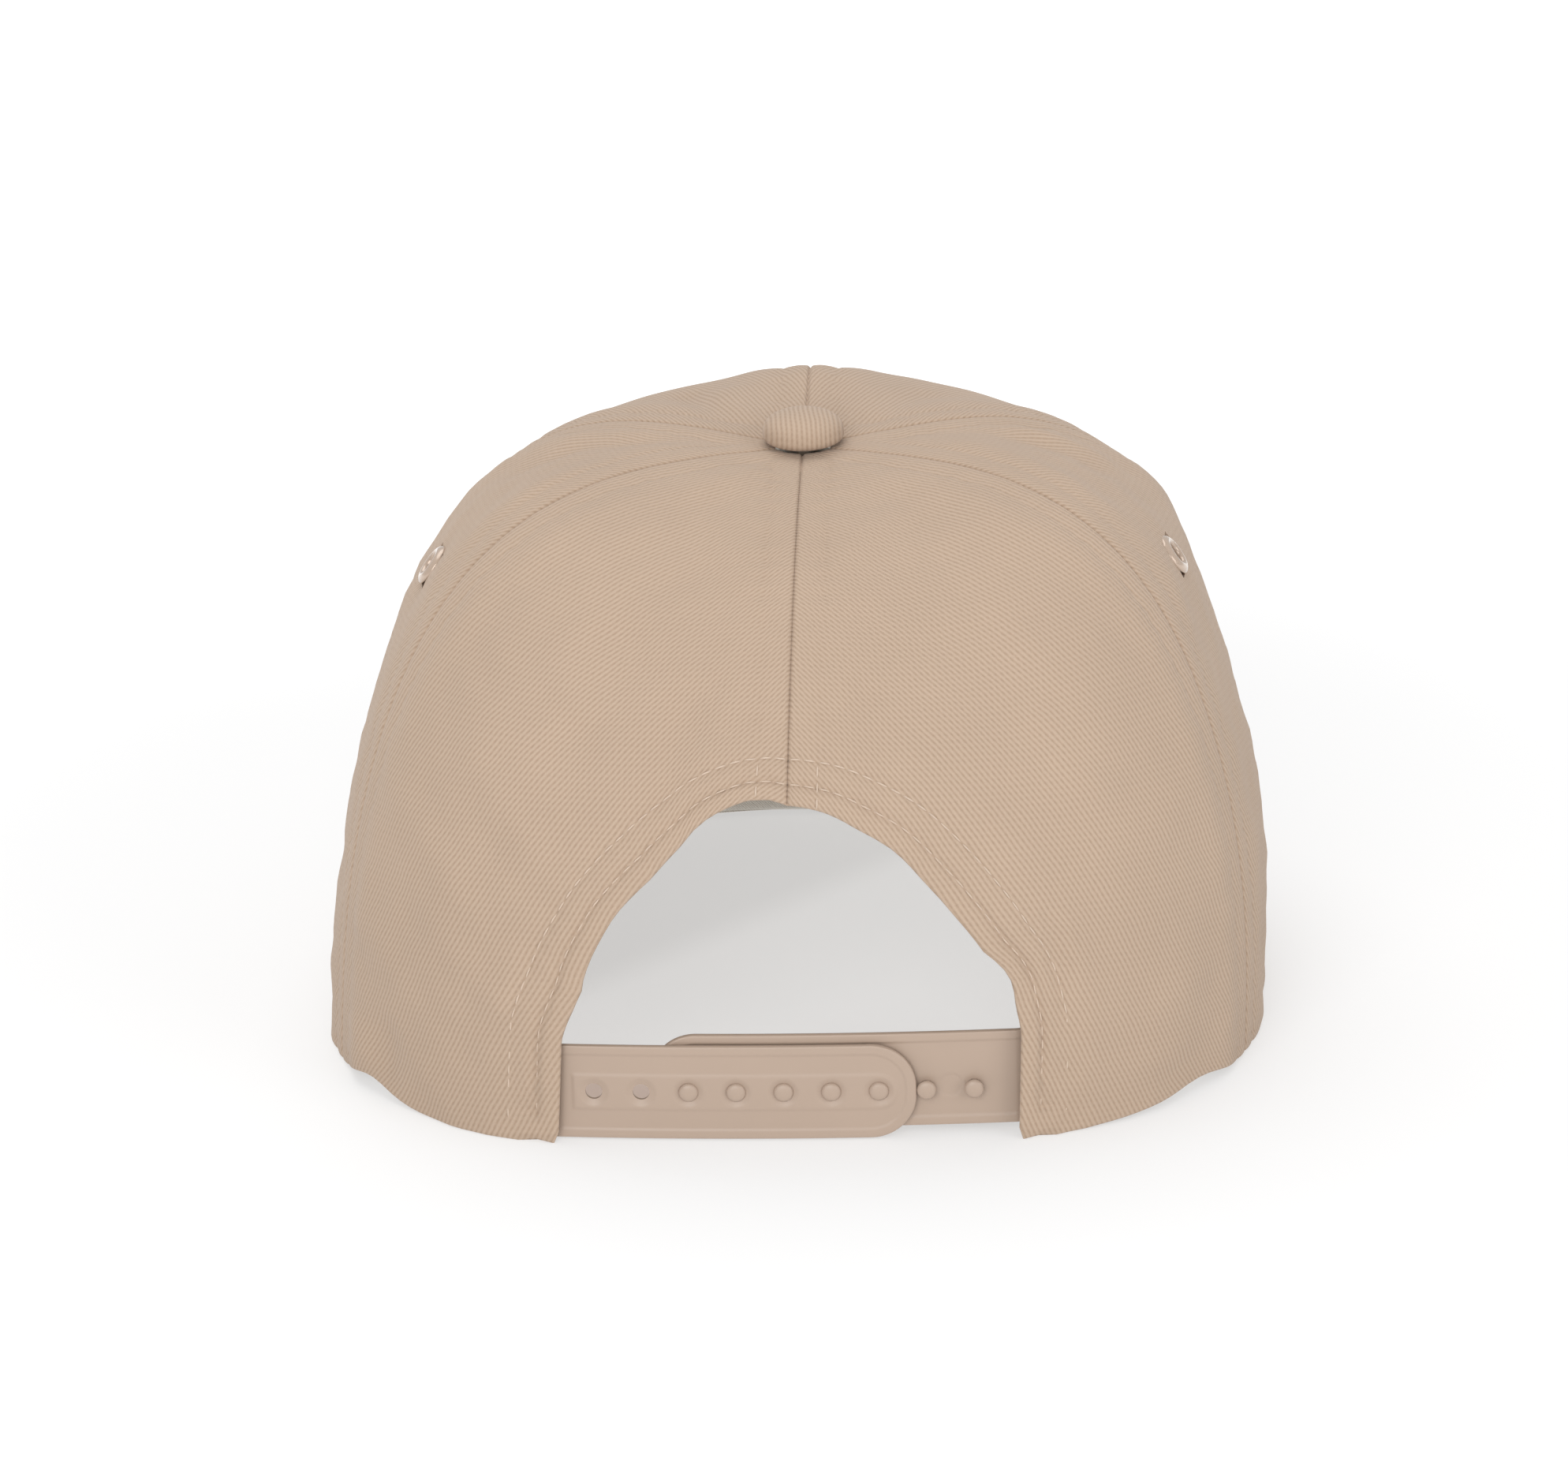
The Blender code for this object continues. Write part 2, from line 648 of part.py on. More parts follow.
def brim_edges(share):
    """The brim's inner and outer edge, seen from above, at a share of the way round."""
    angle = lerp(BRIM_CORNER_ANGLE, math.pi - BRIM_CORNER_ANGLE, share)
    x, y = rim_point(angle)
    ahead, behind = rim_point(angle + 1e-3), rim_point(angle - 1e-3)
    away = Vector((ahead[1] - behind[1], behind[0] - ahead[0])).normalized()
    inner = Vector((x, y)) + away * BRIM_SEAM_CLEARANCE
    turn = math.pi * share
    power = 2 / BRIM_EXPONENT
    outer = Vector((BRIM_HALF_WIDTH * signed_power(math.cos(turn), power),
                    BRIM_CORNER_Y + (BRIM_TIP_Y - BRIM_CORNER_Y) * abs(math.sin(turn)) ** power))
    return inner, outer


def brim_arching(x, reach):
    """How far the brim's middle stands above its sides: nothing at the seam, most at the tip."""
    return BRIM_ARCHING * reach * max(0, 1 - (x / BRIM_HALF_WIDTH) ** 2)


def row_reaches(rows, trim, has_lip):
    """The share of the brim's width at each row of a layer; a lip adds a last row at the edge."""
    flat_rows = rows - 1 if has_lip else rows
    reaches = [i / flat_rows * (1 - trim) for i in range(flat_rows + 1)]
    return reaches + [1.0] if has_lip else reaches


def brim_layer(name, heights, inset, look, lip=None, skip=0.0):
    """A layer of the brim between two heights. A lip is its outer edge, between two other heights;
    the skip is the share of its length that it leaves free at each end."""
    columns, rows = 20, 4
    top = [[] for _ in range(rows + 1)]
    bottom = [[] for _ in range(rows + 1)]
    for j in range(columns + 1):
        inner, outer = brim_edges(lerp(skip, 1 - skip, j / columns))
        trim = min(inset / max((outer - inner).length, 1e-6), BRIM_TRIM_LIMIT)
        for i, reach in enumerate(row_reaches(rows, trim, lip is not None)):
            point = inner.lerp(outer, reach)
            low, high = lip if lip and i == rows else heights
            lift = brim_arching(point.x, reach)
            bottom[i].append((point.x, CROWN_CENTRE_Y + point.y, low + lift))
            top[i].append((point.x, CROWN_CENTRE_Y + point.y, high + lift))
    return add_object(name, *sheet_solid(top, bottom), look)


def make_brim():
    under = (BRIM_BOTTOM, BRIM_BOTTOM + BRIM_COVER)
    board = (under[1] + GAP, under[1] + GAP + BRIM_BOARD)
    over = (board[1] + GAP, board[1] + GAP + BRIM_COVER)
    middle = (board[0] + board[1]) / 2
    under_lip = (middle - GAP / 2 - BRIM_COVER, middle - GAP / 2)
    over_lip = (middle + GAP / 2, middle + GAP / 2 + BRIM_COVER)
    brim_layer("brim_under_cover", under, BRIM_LIP, CLOTH, lip=under_lip)
    brim_layer("brim_top_cover", over, BRIM_LIP, CLOTH, lip=over_lip)
    brim_layer("brim_board", board, BRIM_BOARD_INSET, BOARD, skip=BRIM_BOARD_SKIP)


# ---------------------------------------------------------------- turned pieces

def turned(name, profile, base, axis, look, segments=24):
    """Turns a closed profile of (radius, height) points about an axis through a base point."""
    axis = Vector(axis).normalized()
    side = axis.orthogonal().normalized()
    other = axis.cross(side)
    vertices, rings = [], []
    for radius, height in profile:
        if radius < 1e-7:
            rings.append([len(vertices)] * segments)
            vertices.append(Vector(base) + axis * height)
            continue
        first = len(vertices)
        rings.append([first + k for k in range(segments)])
        for k in range(segments):
            turn = math.tau * k / segments
            out = side * math.cos(turn) + other * math.sin(turn)
            vertices.append(Vector(base) + out * radius + axis * height)
    faces = []
    for first, second in zip(rings, rings[1:] + rings[:1]):
        for quad in quad_band(first, second):
            corners = list(dict.fromkeys(quad))
            if len(corners) > 2:
                faces.append(tuple(corners))
    return add_object(name, vertices, faces, look, origin=base)


def dome(radius, height, steps, power, start=0.0):
    """A dome's profile, from a start angle above its rim to its middle."""
    turns = [lerp(start, math.pi / 2, k / steps) for k in range(steps + 1)]
    return [(radius * max(math.cos(t), 0) ** power, height * math.sin(t) ** power) for t in turns]


def make_button():
    """A cloth-covered metal cap, held by a rivet plate that closes under the panels."""
    base = (CROWN_LEAN * BUTTON_BASE, CROWN_CENTRE_Y, BUTTON_BASE)
    skin = BUTTON_CLOTH
    tuck = BUTTON_RADIUS - BUTTON_TUCK
    outer = dome(BUTTON_RADIUS, BUTTON_HEIGHT, BUTTON_STEPS, BUTTON_POWER)
    inner = dome(BUTTON_RADIUS - skin, BUTTON_HEIGHT - skin, BUTTON_STEPS, BUTTON_POWER)
    turned_in = [(BUTTON_RADIUS - skin, skin * 0.4), (tuck, skin * 0.4), (tuck, -skin / 2),
                 (BUTTON_RADIUS - skin / 2, -skin / 2)]
    turned("button_cover", outer + inner[::-1][:-1] + turned_in, base, (0, 0, 1), CLOTH)
    radius = BUTTON_RADIUS - skin - GAP
    height = BUTTON_HEIGHT - skin - GAP
    outer = dome(radius, height, BUTTON_STEPS, BUTTON_POWER, SHELL_FOOT)
    inner = dome(radius - BUTTON_METAL, height - BUTTON_METAL, BUTTON_STEPS, BUTTON_POWER, SHELL_FOOT)
    turned("button_shell", outer + inner[::-1], base, (0, 0, 1), STEEL)
    head, seat, foot = RIVET_TOP, -RIVET_DEPTH, -RIVET_DEPTH - RIVET_PLATE
    rivet = [(0, head), (RIVET_SHANK, head), (RIVET_SHANK, seat), (RIVET_RADIUS, seat),
             (RIVET_RADIUS, foot), (0, foot)]
    turned("button_rivet", rivet, base, (0, 0, 1), STEEL, segments=16)


def make_eyelet(side_name, mirror):
    """A vent eyelet: a domed ring with a barrel outside, and its washer inside the panel."""
    angle = math.pi - EYELET_ANGLE if mirror else EYELET_ANGLE
    base = outer_point(angle, EYELET_RISE)
    normal = crown_normal(angle, EYELET_RISE)
    seat, crown, bevel = EYELET_SEAT, EYELET_HEIGHT, EYELET_BEVEL
    foot = -(PANEL_THICKNESS + EYELET_FOOT)
    ring = [(EYELET_FLANGE, seat), (EYELET_FLANGE - bevel * 0.4, seat + bevel * 1.2),
            (EYELET_FLANGE - bevel * 2, crown), (EYELET_HOLE + bevel, crown),
            (EYELET_HOLE, crown - bevel), (EYELET_HOLE, foot), (EYELET_BARREL, foot),
            (EYELET_BARREL, seat)]
    turned("eyelet_" + side_name, ring, base, normal, ENAMEL, segments=16)
    opening = EYELET_BARREL + GAP
    near, far = [-(PANEL_THICKNESS + depth) for depth in EYELET_WASHER_DEPTH]
    washer = [(EYELET_WASHER, near), (opening, near), (opening, far), (EYELET_WASHER, far)]
    turned("eyelet_washer_" + side_name, washer, base, normal, STEEL, segments=16)
    cutter_ends = [(0, CUTTER_REACH), (opening, CUTTER_REACH), (opening, -CUTTER_REACH),
                   (0, -CUTTER_REACH)]
    cutter = turned("eyelet_cutter_" + side_name, cutter_ends, base, normal, STEEL)
    cutter.hide_render = True
    cutter.display_type = "WIRE"
    panel = bpy.data.objects["side_panel_" + side_name]
    cut = panel.modifiers.new("Eyelet hole", "BOOLEAN")
    cut.operation = "DIFFERENCE"
    cut.solver = "EXACT"
    cut.object = cutter


def main():
    clear_scene()
    make_panels()
    make_buckram()
    make_seam_tapes()
    make_arch_facing()
    make_sweatband()
    make_closure()
    make_brim()
    make_button()
    make_eyelet("right", False)
    make_eyelet("left", True)


main()
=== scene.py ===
"""Looks for the six-panel cap: twill panels with seams, hems, folds and stitching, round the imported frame.

Metres, +Z up, +Y forwards over the brim, +X to the wearer's right. Left and right are the wearer's.
"""

import math

import bmesh
import bpy
import numpy as np
from mathutils import Matrix, Vector


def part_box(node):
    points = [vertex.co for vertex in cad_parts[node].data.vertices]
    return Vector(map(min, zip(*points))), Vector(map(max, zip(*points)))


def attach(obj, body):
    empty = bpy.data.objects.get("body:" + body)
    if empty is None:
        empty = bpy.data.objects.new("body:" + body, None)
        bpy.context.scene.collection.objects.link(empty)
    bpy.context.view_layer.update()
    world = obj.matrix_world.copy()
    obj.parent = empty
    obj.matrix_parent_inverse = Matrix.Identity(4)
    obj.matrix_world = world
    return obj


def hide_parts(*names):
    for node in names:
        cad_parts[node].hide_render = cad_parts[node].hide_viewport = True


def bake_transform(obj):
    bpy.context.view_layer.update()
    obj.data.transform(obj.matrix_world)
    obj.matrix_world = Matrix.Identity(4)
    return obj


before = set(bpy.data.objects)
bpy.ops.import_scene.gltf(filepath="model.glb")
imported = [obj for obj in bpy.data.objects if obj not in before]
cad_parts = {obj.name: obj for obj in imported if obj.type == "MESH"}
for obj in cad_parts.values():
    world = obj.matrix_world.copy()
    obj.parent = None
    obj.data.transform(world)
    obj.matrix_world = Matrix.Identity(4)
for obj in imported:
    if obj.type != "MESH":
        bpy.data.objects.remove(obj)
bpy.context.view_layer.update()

MM = 0.001

# ---------------------------------------------------------------- sizes read from the frame


BUTTON_LOW, BUTTON_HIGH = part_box("button_cover")
BUTTON_X = (BUTTON_LOW.x + BUTTON_HIGH.x) / 2
CROWN_CENTRE_Y = (BUTTON_LOW.y + BUTTON_HIGH.y) / 2
CROWN_HALF_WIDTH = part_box("side_panel_right")[1].x + 0.1 * MM
CROWN_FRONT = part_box("front_panel_right")[1].y - CROWN_CENTRE_Y
CROWN_REAR = 93 * MM
CROWN_HEIGHT = BUTTON_LOW.z - 1.3 * MM

# The crown's surface, as the CAD panels have it
RIM_EXPONENT_FRONT = 2.1
RIM_EXPONENT_REAR = 2.86
REACH_EXPONENTS = (3.6, 3.0, 2.0)
HEIGHT_EXPONENTS = (2.35, 3.15, 2.8)
SHOULDER_LIFT_SIDE = 5 * MM
SHOULDER_LIFT_FRONT = 10 * MM
SHOULDER_PEAK = 1.13
CROWN_LEAN = 0.0285
TOP_HOLE_REACH = 0.06
REAR_SIDE_SEAM = (math.radians(-22), math.radians(-22))
FRONT_SIDE_SEAM = (math.radians(30), math.radians(20))
FRONT_SEAM = (math.radians(90), math.radians(90))
REAR_SEAM = (math.radians(-90), math.radians(-90))

# The rear arch
HEM_X = 46.5 * MM
HEM_STRAIGHT = 22 * MM
ARCH_TOP = 68 * MM
ARCH_STRAIGHT_SHARE = 0.2

# Cloth and sewing
CLOTH_THICKNESS = 0.9 * MM
HEM_DEPTH = 11 * MM
TOPSTITCH_SIDE = 5.8 * MM
ARCH_STITCHES = (4.6 * MM, 10.0 * MM)
THREAD_RADIUS = 0.21 * MM
STITCH_LENGTH = 2.4 * MM
STITCH_PITCH = 3.0 * MM
RIB_PITCH = 1.0 * MM

# Where the cloth stands fuller or slacker: angle and rise on the crown, their spreads, and height
SWELLS = (
    (14, 0.57, 20, 0.09, 2.0 * MM),
    (167, 0.54, 18, 0.08, 0.7 * MM),
    (90, 0.80, 13, 0.07, 2.4 * MM),
    (358, 0.22, 16, 0.10, 0.8 * MM),
    (2, 0.44, 20, 0.08, -0.9 * MM),
    (180, 0.36, 22, 0.16, -0.9 * MM),
    (192, 0.04, 12, 0.08, 0.6 * MM),
    (50, 0.75, 16, 0.09, -1.3 * MM),
    (130, 0.75, 16, 0.09, -1.0 * MM),
)

# Folds on the rear: x and height where each starts and ends, in mm, its width and its height
# (below 0 for a dent).
REAR_FOLDS = (
    ((-81, 18), (-83.5, 0), 2.6, -1.5),
    ((-87, 16), (-88, 0), 3.0, 0.9),
    ((-27, 66), (-15, 88), 4.0, -0.9),
    ((-21, 64), (-11, 84), 3.5, 0.6),
    ((-42, 74), (-28, 100), 5.5, -0.8),
    ((-51, 38), (-42, 62), 5.0, -0.8),
    ((-57, 20), (-50, 44), 5.0, 0.5),
    ((52, 47), (56, 35), 1.9, -1.0),
    ((56.5, 46), (60, 34), 2.4, 0.5),
    ((14, 84), (20, 90), 2.2, -0.6),
    ((47.8, 38), (47.2, 26), 1.3, -0.9),
    ((50.6, 38), (50.4, 14), 1.8, 0.5),
    ((54.0, 30), (53.5, 4), 2.2, -0.4),
)

# Folds elsewhere: angle and rise where each starts and ends, its width and height in mm.
SIDE_FOLDS = (
    ((192, 0.93), (194, 0.66), 4.0, 0.9),
    ((181, 0.94), (178, 0.70), 4.0, -1.3),
    ((170, 0.92), (166, 0.72), 4.0, 0.6),
    ((139, 0.90), (127, 0.78), 4.0, -1.3),
    ((133, 0.92), (118, 0.82), 4.0, 0.6),
    ((8, 0.92), (1, 0.68), 3.5, -0.8),
    ((13, 0.90), (8, 0.66), 3.0, 0.5),
    ((17, 0.90), (14, 0.66), 3.0, -0.7),
    ((-8, 0.86), (-12, 0.66), 3.5, 0.5),
    ((40, 0.92), (52, 0.80), 4.0, -0.7),
)

# Where the arch's edge was cut and sewn off its even curve: place round the arch (degrees above
# its straight foot, or below 0 down that foot), and how far the edge lies outwards there, in mm.
ARCH_OFFSETS = {
    "right": ((-30, 0.5), (0, 0.5), (8, 0.7), (14, 1.8), (19, 1.3), (25, -0.6), (38, -1.4),
              (50, -1.4), (61, -0.4), (72, -0.4), (81, 0.8), (90, 1.5)),
    "left": ((-30, -1.1), (0, -2.0), (9, -2.8), (15, -2.9), (19, -2.0), (25, -1.4), (38, -0.5),
             (52, -0.9), (59, 0.0), (64, 0.8), (68, 2.4), (74, 3.1), (81, 3.6), (86, 2.9), (90, 1.5)),
}
ARCH_OFFSET_REACH = 30 * MM


def lerp(a, b, share):
    return a + (b - a) * share


# ---------------------------------------------------------------- the crown's surface

def by_direction(angle, side, front, rear):
    c, s = np.cos(angle), np.sin(angle)
    return side * c * c + front * np.maximum(0, s) ** 2 + rear * np.maximum(0, -s) ** 2


def signed_power(value, power):
    return np.sign(value) * np.abs(value) ** power


def rim_point(angle):
    """Points on the crown's rim seen from above, about the crown's own centre."""
    c, s = np.cos(angle), np.sin(angle)
    power = 2 / np.where(s < 0, RIM_EXPONENT_REAR, RIM_EXPONENT_FRONT)
    reach = np.where(s < 0, CROWN_REAR, CROWN_FRONT)
    return CROWN_HALF_WIDTH * signed_power(c, power), reach * signed_power(s, power)


def reach_and_height(angle, rise):
    """The crown's side view at a rise of 0 at the rim to 1 at the small hole in its top."""
    reach_exponent = by_direction(angle, *REACH_EXPONENTS)
    hole_turn = np.arccos(TOP_HOLE_REACH ** (reach_exponent / 2)) / (math.pi / 2)
    hole = 0.5 - np.sin(np.arcsin(1 - 2 * hole_turn) / 3)
    turn = math.pi / 2 * (3 * (hole * rise) ** 2 - 2 * (hole * rise) ** 3)
    reach = np.maximum(np.cos(turn), 0) ** (2 / reach_exponent)
    height = np.maximum(np.sin(turn), 0) ** (2 / by_direction(angle, *HEIGHT_EXPONENTS))
    return reach, height


def outer_point(angle, rise):
    """Points on the crown's smooth outer surface, as an array with x, y and z last."""
    angle, rise = np.broadcast_arrays(np.asarray(angle, float), np.asarray(rise, float))
    x, y = rim_point(angle)
    reach, height = reach_and_height(angle, rise)
    lift = by_direction(angle, SHOULDER_LIFT_SIDE, SHOULDER_LIFT_FRONT, 0)
    share = reach / SHOULDER_PEAK
    swell = share ** 1.5 * np.exp(1.5 * (1 - share)) * (1 - reach ** 4)
    z = CROWN_HEIGHT * height + lift * swell
    return np.stack([x * reach + CROWN_LEAN * z, CROWN_CENTRE_Y + y * reach, z], -1)


def unit(vectors):
    return vectors / np.maximum(np.linalg.norm(vectors, axis=-1, keepdims=True), 1e-12)


def crown_normal(angle, rise):
    step = 1e-3
    low = np.maximum(rise - step, 0)
    along = outer_point(angle + step, rise) - outer_point(angle - step, rise)
    up = outer_point(angle, rise + step) - outer_point(angle, low)
    return unit(np.cross(along, up))


def rise_at_height(angle, height):
    low, high = np.zeros_like(angle), np.full_like(angle, 0.75)
    for _ in range(40):
        middle = (low + high) / 2
        under = outer_point(angle, middle)[..., 2] < height
        low, high = np.where(under, middle, low), np.where(under, high, middle)
    return (low + high) / 2


def locate_rear(x, height):
    """Angles and rises of rear points at these heights, x away from the leaning middle."""
    x, height = np.broadcast_arrays(np.asarray(x, float), np.asarray(height, float))
    low, high = np.full(x.shape, -math.pi / 2), np.full(x.shape, math.radians(-5))
    for _ in range(40):
        middle = (low + high) / 2
        point = outer_point(middle, rise_at_height(middle, height))
        inside = point[..., 0] - CROWN_LEAN * point[..., 2] < np.abs(x)
        low, high = np.where(inside, middle, low), np.where(inside, high, middle)
    angle = np.where(x >= 0, low, -math.pi - low)
    return angle, rise_at_height(angle, height)


def arch_outline(share):
    """The arch's edge as x and height: share 0 at the rim, 1 at its top."""
    straight = ARCH_STRAIGHT_SHARE
    turn = math.pi / 2 * np.clip((share - straight) / (1 - straight), 0, 1)
    x = HEM_X * np.cos(turn)
    rising = HEM_STRAIGHT + (ARCH_TOP - HEM_STRAIGHT) * np.sin(turn) ** 1.4
    return x, np.where(share < straight, HEM_STRAIGHT * share / straight, rising)


def seam_angle(seam, rise):
    return lerp(seam[0], seam[1], rise)


def eased_steps(count, edge=0.5):
    """Shares from 0 to 1 whose steps are finer near both ends."""
    even = np.linspace(0, 1, count + 1)
    return lerp(even, 0.5 - 0.5 * np.cos(math.pi * even), edge)


# ---------------------------------------------------------------- cloth relief

def distance_to_line(points, line):
    """Shortest distance from each point to a polyline."""
    flat = points.reshape(-1, 3)
    starts, steps = line[:-1], line[1:] - line[:-1]
    lengths = np.maximum((steps ** 2).sum(-1), 1e-18)
    best = np.full(len(flat), np.inf)
    for start, step, length in zip(starts, steps, lengths):
        share = np.clip(((flat - start) @ step) / length, 0, 1)
        gap = flat - start - share[:, None] * step
        best = np.minimum(best, (gap ** 2).sum(-1))
    return np.sqrt(best).reshape(points.shape[:-1])


def bell(value, width):
    return np.exp(-(value / width) ** 2)


def smooth_step(value, start, end):
    share = np.clip((value - start) / (end - start), 0, 1)
    return share * share * (3 - 2 * share)


def seam_relief(distance, side=TOPSTITCH_SIDE):
    """Cloth beside a pressed-open seam: a crease, a flat allowance, a stitched groove, a puff."""
    crease = -0.5 * MM * bell(distance, 0.34 * MM)
    shoulder = 0.22 * MM * bell(distance - 2.4 * MM, 1.9 * MM)
    groove = -0.26 * MM * bell(distance - side, 0.6 * MM)
    puff = 0.5 * MM * bell(distance - side - 5.0 * MM, 4.5 * MM)
    return crease + shoulder + groove + puff


def soft_noise(points, size, seed):
    """Smooth unevenness from a few fixed waves, about -1 to 1."""
    random = np.random.default_rng(seed)
    total = np.zeros(points.shape[:-1])
    for _ in range(9):
        direction = unit(random.normal(size=3))
        phase = random.uniform(0, math.tau)
        stretch = random.uniform(0.6, 1.5)
        total += np.sin(points @ direction * (math.tau / (size * stretch)) + phase)
    return total / 3


def swell_relief(angle, rise):
    """Fuller and slacker places in the cloth."""
    total = np.zeros_like(angle)
    for middle, height_share, spread, tall, amount in SWELLS:
        turn = np.degrees(angle) - middle
        turn = (turn + 180) % 360 - 180
        total += amount * bell(turn, spread) * bell(rise - height_share, tall)
    return total


def fold_relief(points):
    """Rises and dents along the folds."""
    total = np.zeros(points.shape[:-1])
    x, z = points[..., 0], points[..., 2]
    for start, finish, width, amount in REAR_FOLDS:
        x0, z0, x1, z1 = (value * MM for value in start + finish)
        dx, dz = x1 - x0, z1 - z0
        length = math.hypot(dx, dz)
        along = ((x - x0) * dx + (z - z0) * dz) / length ** 2
        across = ((x - x0) * dz - (z - z0) * dx) / length
        taper = smooth_step(along, -0.15, 0.3) * smooth_step(-along, -1.15, -0.7)
        total += amount * MM * bell(across, width * MM) * taper
    total = np.where(points[..., 1] < CROWN_CENTRE_Y - 10 * MM, total, 0)
    shares = np.linspace(0, 1, 16)
    for (turn0, rise0), (turn1, rise1), width, amount in SIDE_FOLDS:
        line = outer_point(np.radians(lerp(turn0, turn1, shares)), lerp(rise0, rise1, shares))
        total += amount * MM * bell(distance_to_line(points, line), width * MM)
    return total


def arch_warp(points, normals, gap):
    """Slides the cloth round the arch along the crown, so that its edge takes its uneven line."""
    x, z = points[..., 0] - CROWN_LEAN * points[..., 2], points[..., 2]
    above = z > HEM_STRAIGHT
    turn = np.where(above, np.degrees(np.arctan2(z - HEM_STRAIGHT, np.abs(x))),
                    30 * (z / HEM_STRAIGHT - 1))
    amount = np.zeros_like(x)
    for side, chosen in (("right", x > 0), ("left", x <= 0)):
        places, offsets = zip(*ARCH_OFFSETS[side])
        amount = np.where(chosen, np.interp(turn, places, offsets) * MM, amount)
    amount = amount * np.clip(1 - gap / ARCH_OFFSET_REACH, 0, 1) ** 2
    slope = np.radians(np.clip(turn, 0, 90))
    move = np.stack([np.sign(x) * np.cos(slope), np.zeros_like(x), np.sin(slope)], -1) * amount[..., None]
    return points + move - normals * (move * normals).sum(-1, keepdims=True)


# ---------------------------------------------------------------- mesh making

def new_object(name, vertices, faces, material, smooth_angle=40):
    mesh = bpy.data.meshes.new(name)
    mesh.from_pydata([tuple(v) for v in vertices], [], faces)
    mesh.update()
    mesh.shade_smooth()
    mesh.set_sharp_from_angle(angle=math.radians(smooth_angle))
    mesh.materials.append(material)
    item = bpy.data.objects.new(name, mesh)
    bpy.context.scene.collection.objects.link(item)
    return item


def set_grain(item, coordinates):
    """Stores cloth coordinates in metres, along and across the ribs, for the weave."""
    attribute = item.data.attributes.new("grain", "FLOAT_VECTOR", "POINT")
    attribute.data.foreach_set("vector", np.asarray(coordinates, np.float32).ravel())


def fix(item, body, slot, *nodes):
    """Says which body a piece rides on and which CAD nodes it replaces; its material slot is not used."""
    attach(item, body)
    if nodes:
        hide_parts(*nodes)


def flip_if_inside_out(item):
    """Turns every face of a closed piece outwards."""
    shape = bmesh.new()
    shape.from_mesh(item.data)
    bmesh.ops.recalc_face_normals(shape, faces=shape.faces)
    shape.to_mesh(item.data)
    shape.free()


# ---------------------------------------------------------------- stitches

def stitch_mesh(runs, name, material, radius=THREAD_RADIUS):
    """Short rounded threads along surface lines: runs are (points, normals) pairs."""
    around, along = 6, 5
    shares = np.linspace(-1, 1, along)
    arc = np.sqrt(1 - (shares * 0.98) ** 2)[:, None]
    lift, thick = radius * (1.1 * arc - 0.75), radius * (0.35 + 0.65 * arc)
    turns = math.tau * np.arange(around) / around
    vertices, faces = [], []
    for points, normals in runs:
        if len(points) < 2:
            continue
        travel = np.concatenate([[0], np.cumsum(np.linalg.norm(np.diff(points, axis=0), axis=-1))])
        count = int(travel[-1] / STITCH_PITCH)
        for k in range(count):
            places = (k + 0.5) * travel[-1] / count + shares * STITCH_LENGTH / 2
            line, up = [np.stack([np.interp(places, travel, values[:, i]) for i in range(3)], -1)
                        for values in (points, normals)]
            up = unit(up)
            side = unit(np.cross(unit(np.gradient(line, axis=0)), up))
            first = len(vertices)
            for i in range(along):
                middle = line[i] + up[i] * lift[i]
                vertices.extend(middle + (side[i] * math.cos(t) + up[i] * math.sin(t)) * thick[i]
                                for t in turns)
            last = first + (along - 1) * around
            for a in range(first, last, around):
                faces.extend((a + j, a + (j + 1) % around, a + (j + 1) % around + around, a + j + around)
                             for j in range(around))
            faces.append(tuple(first + j for j in range(around))[::-1])
            faces.append(tuple(last + j for j in range(around)))
    return new_object(name, vertices, faces, material, smooth_angle=80)


def line_across_rows(points, normals, distance, level, from_end=False, clear=None):
    """The line where a distance from one side of a grid reaches a level, found row by row."""
    found, ups = [], []
    columns = np.arange(points.shape[1])
    if from_end:
        columns = columns[::-1]
    for row in range(points.shape[0]):
        values = distance[row][columns]
        past = np.nonzero(values >= level)[0]
        if len(past) == 0 or past[0] == 0:
            continue
        b = past[0]
        if clear is not None and not clear[row][columns[b]]:
            continue
        share = (level - values[b - 1]) / (values[b] - values[b - 1])
        before, after = columns[b - 1], columns[b]
        found.append(lerp(points[row, before], points[row, after], share))
        ups.append(lerp(normals[row, before], normals[row, after], share))
    if not found:
        return np.zeros((0, 3)), np.zeros((0, 3))
    return np.array(found), unit(np.array(ups))


# ---------------------------------------------------------------- materials

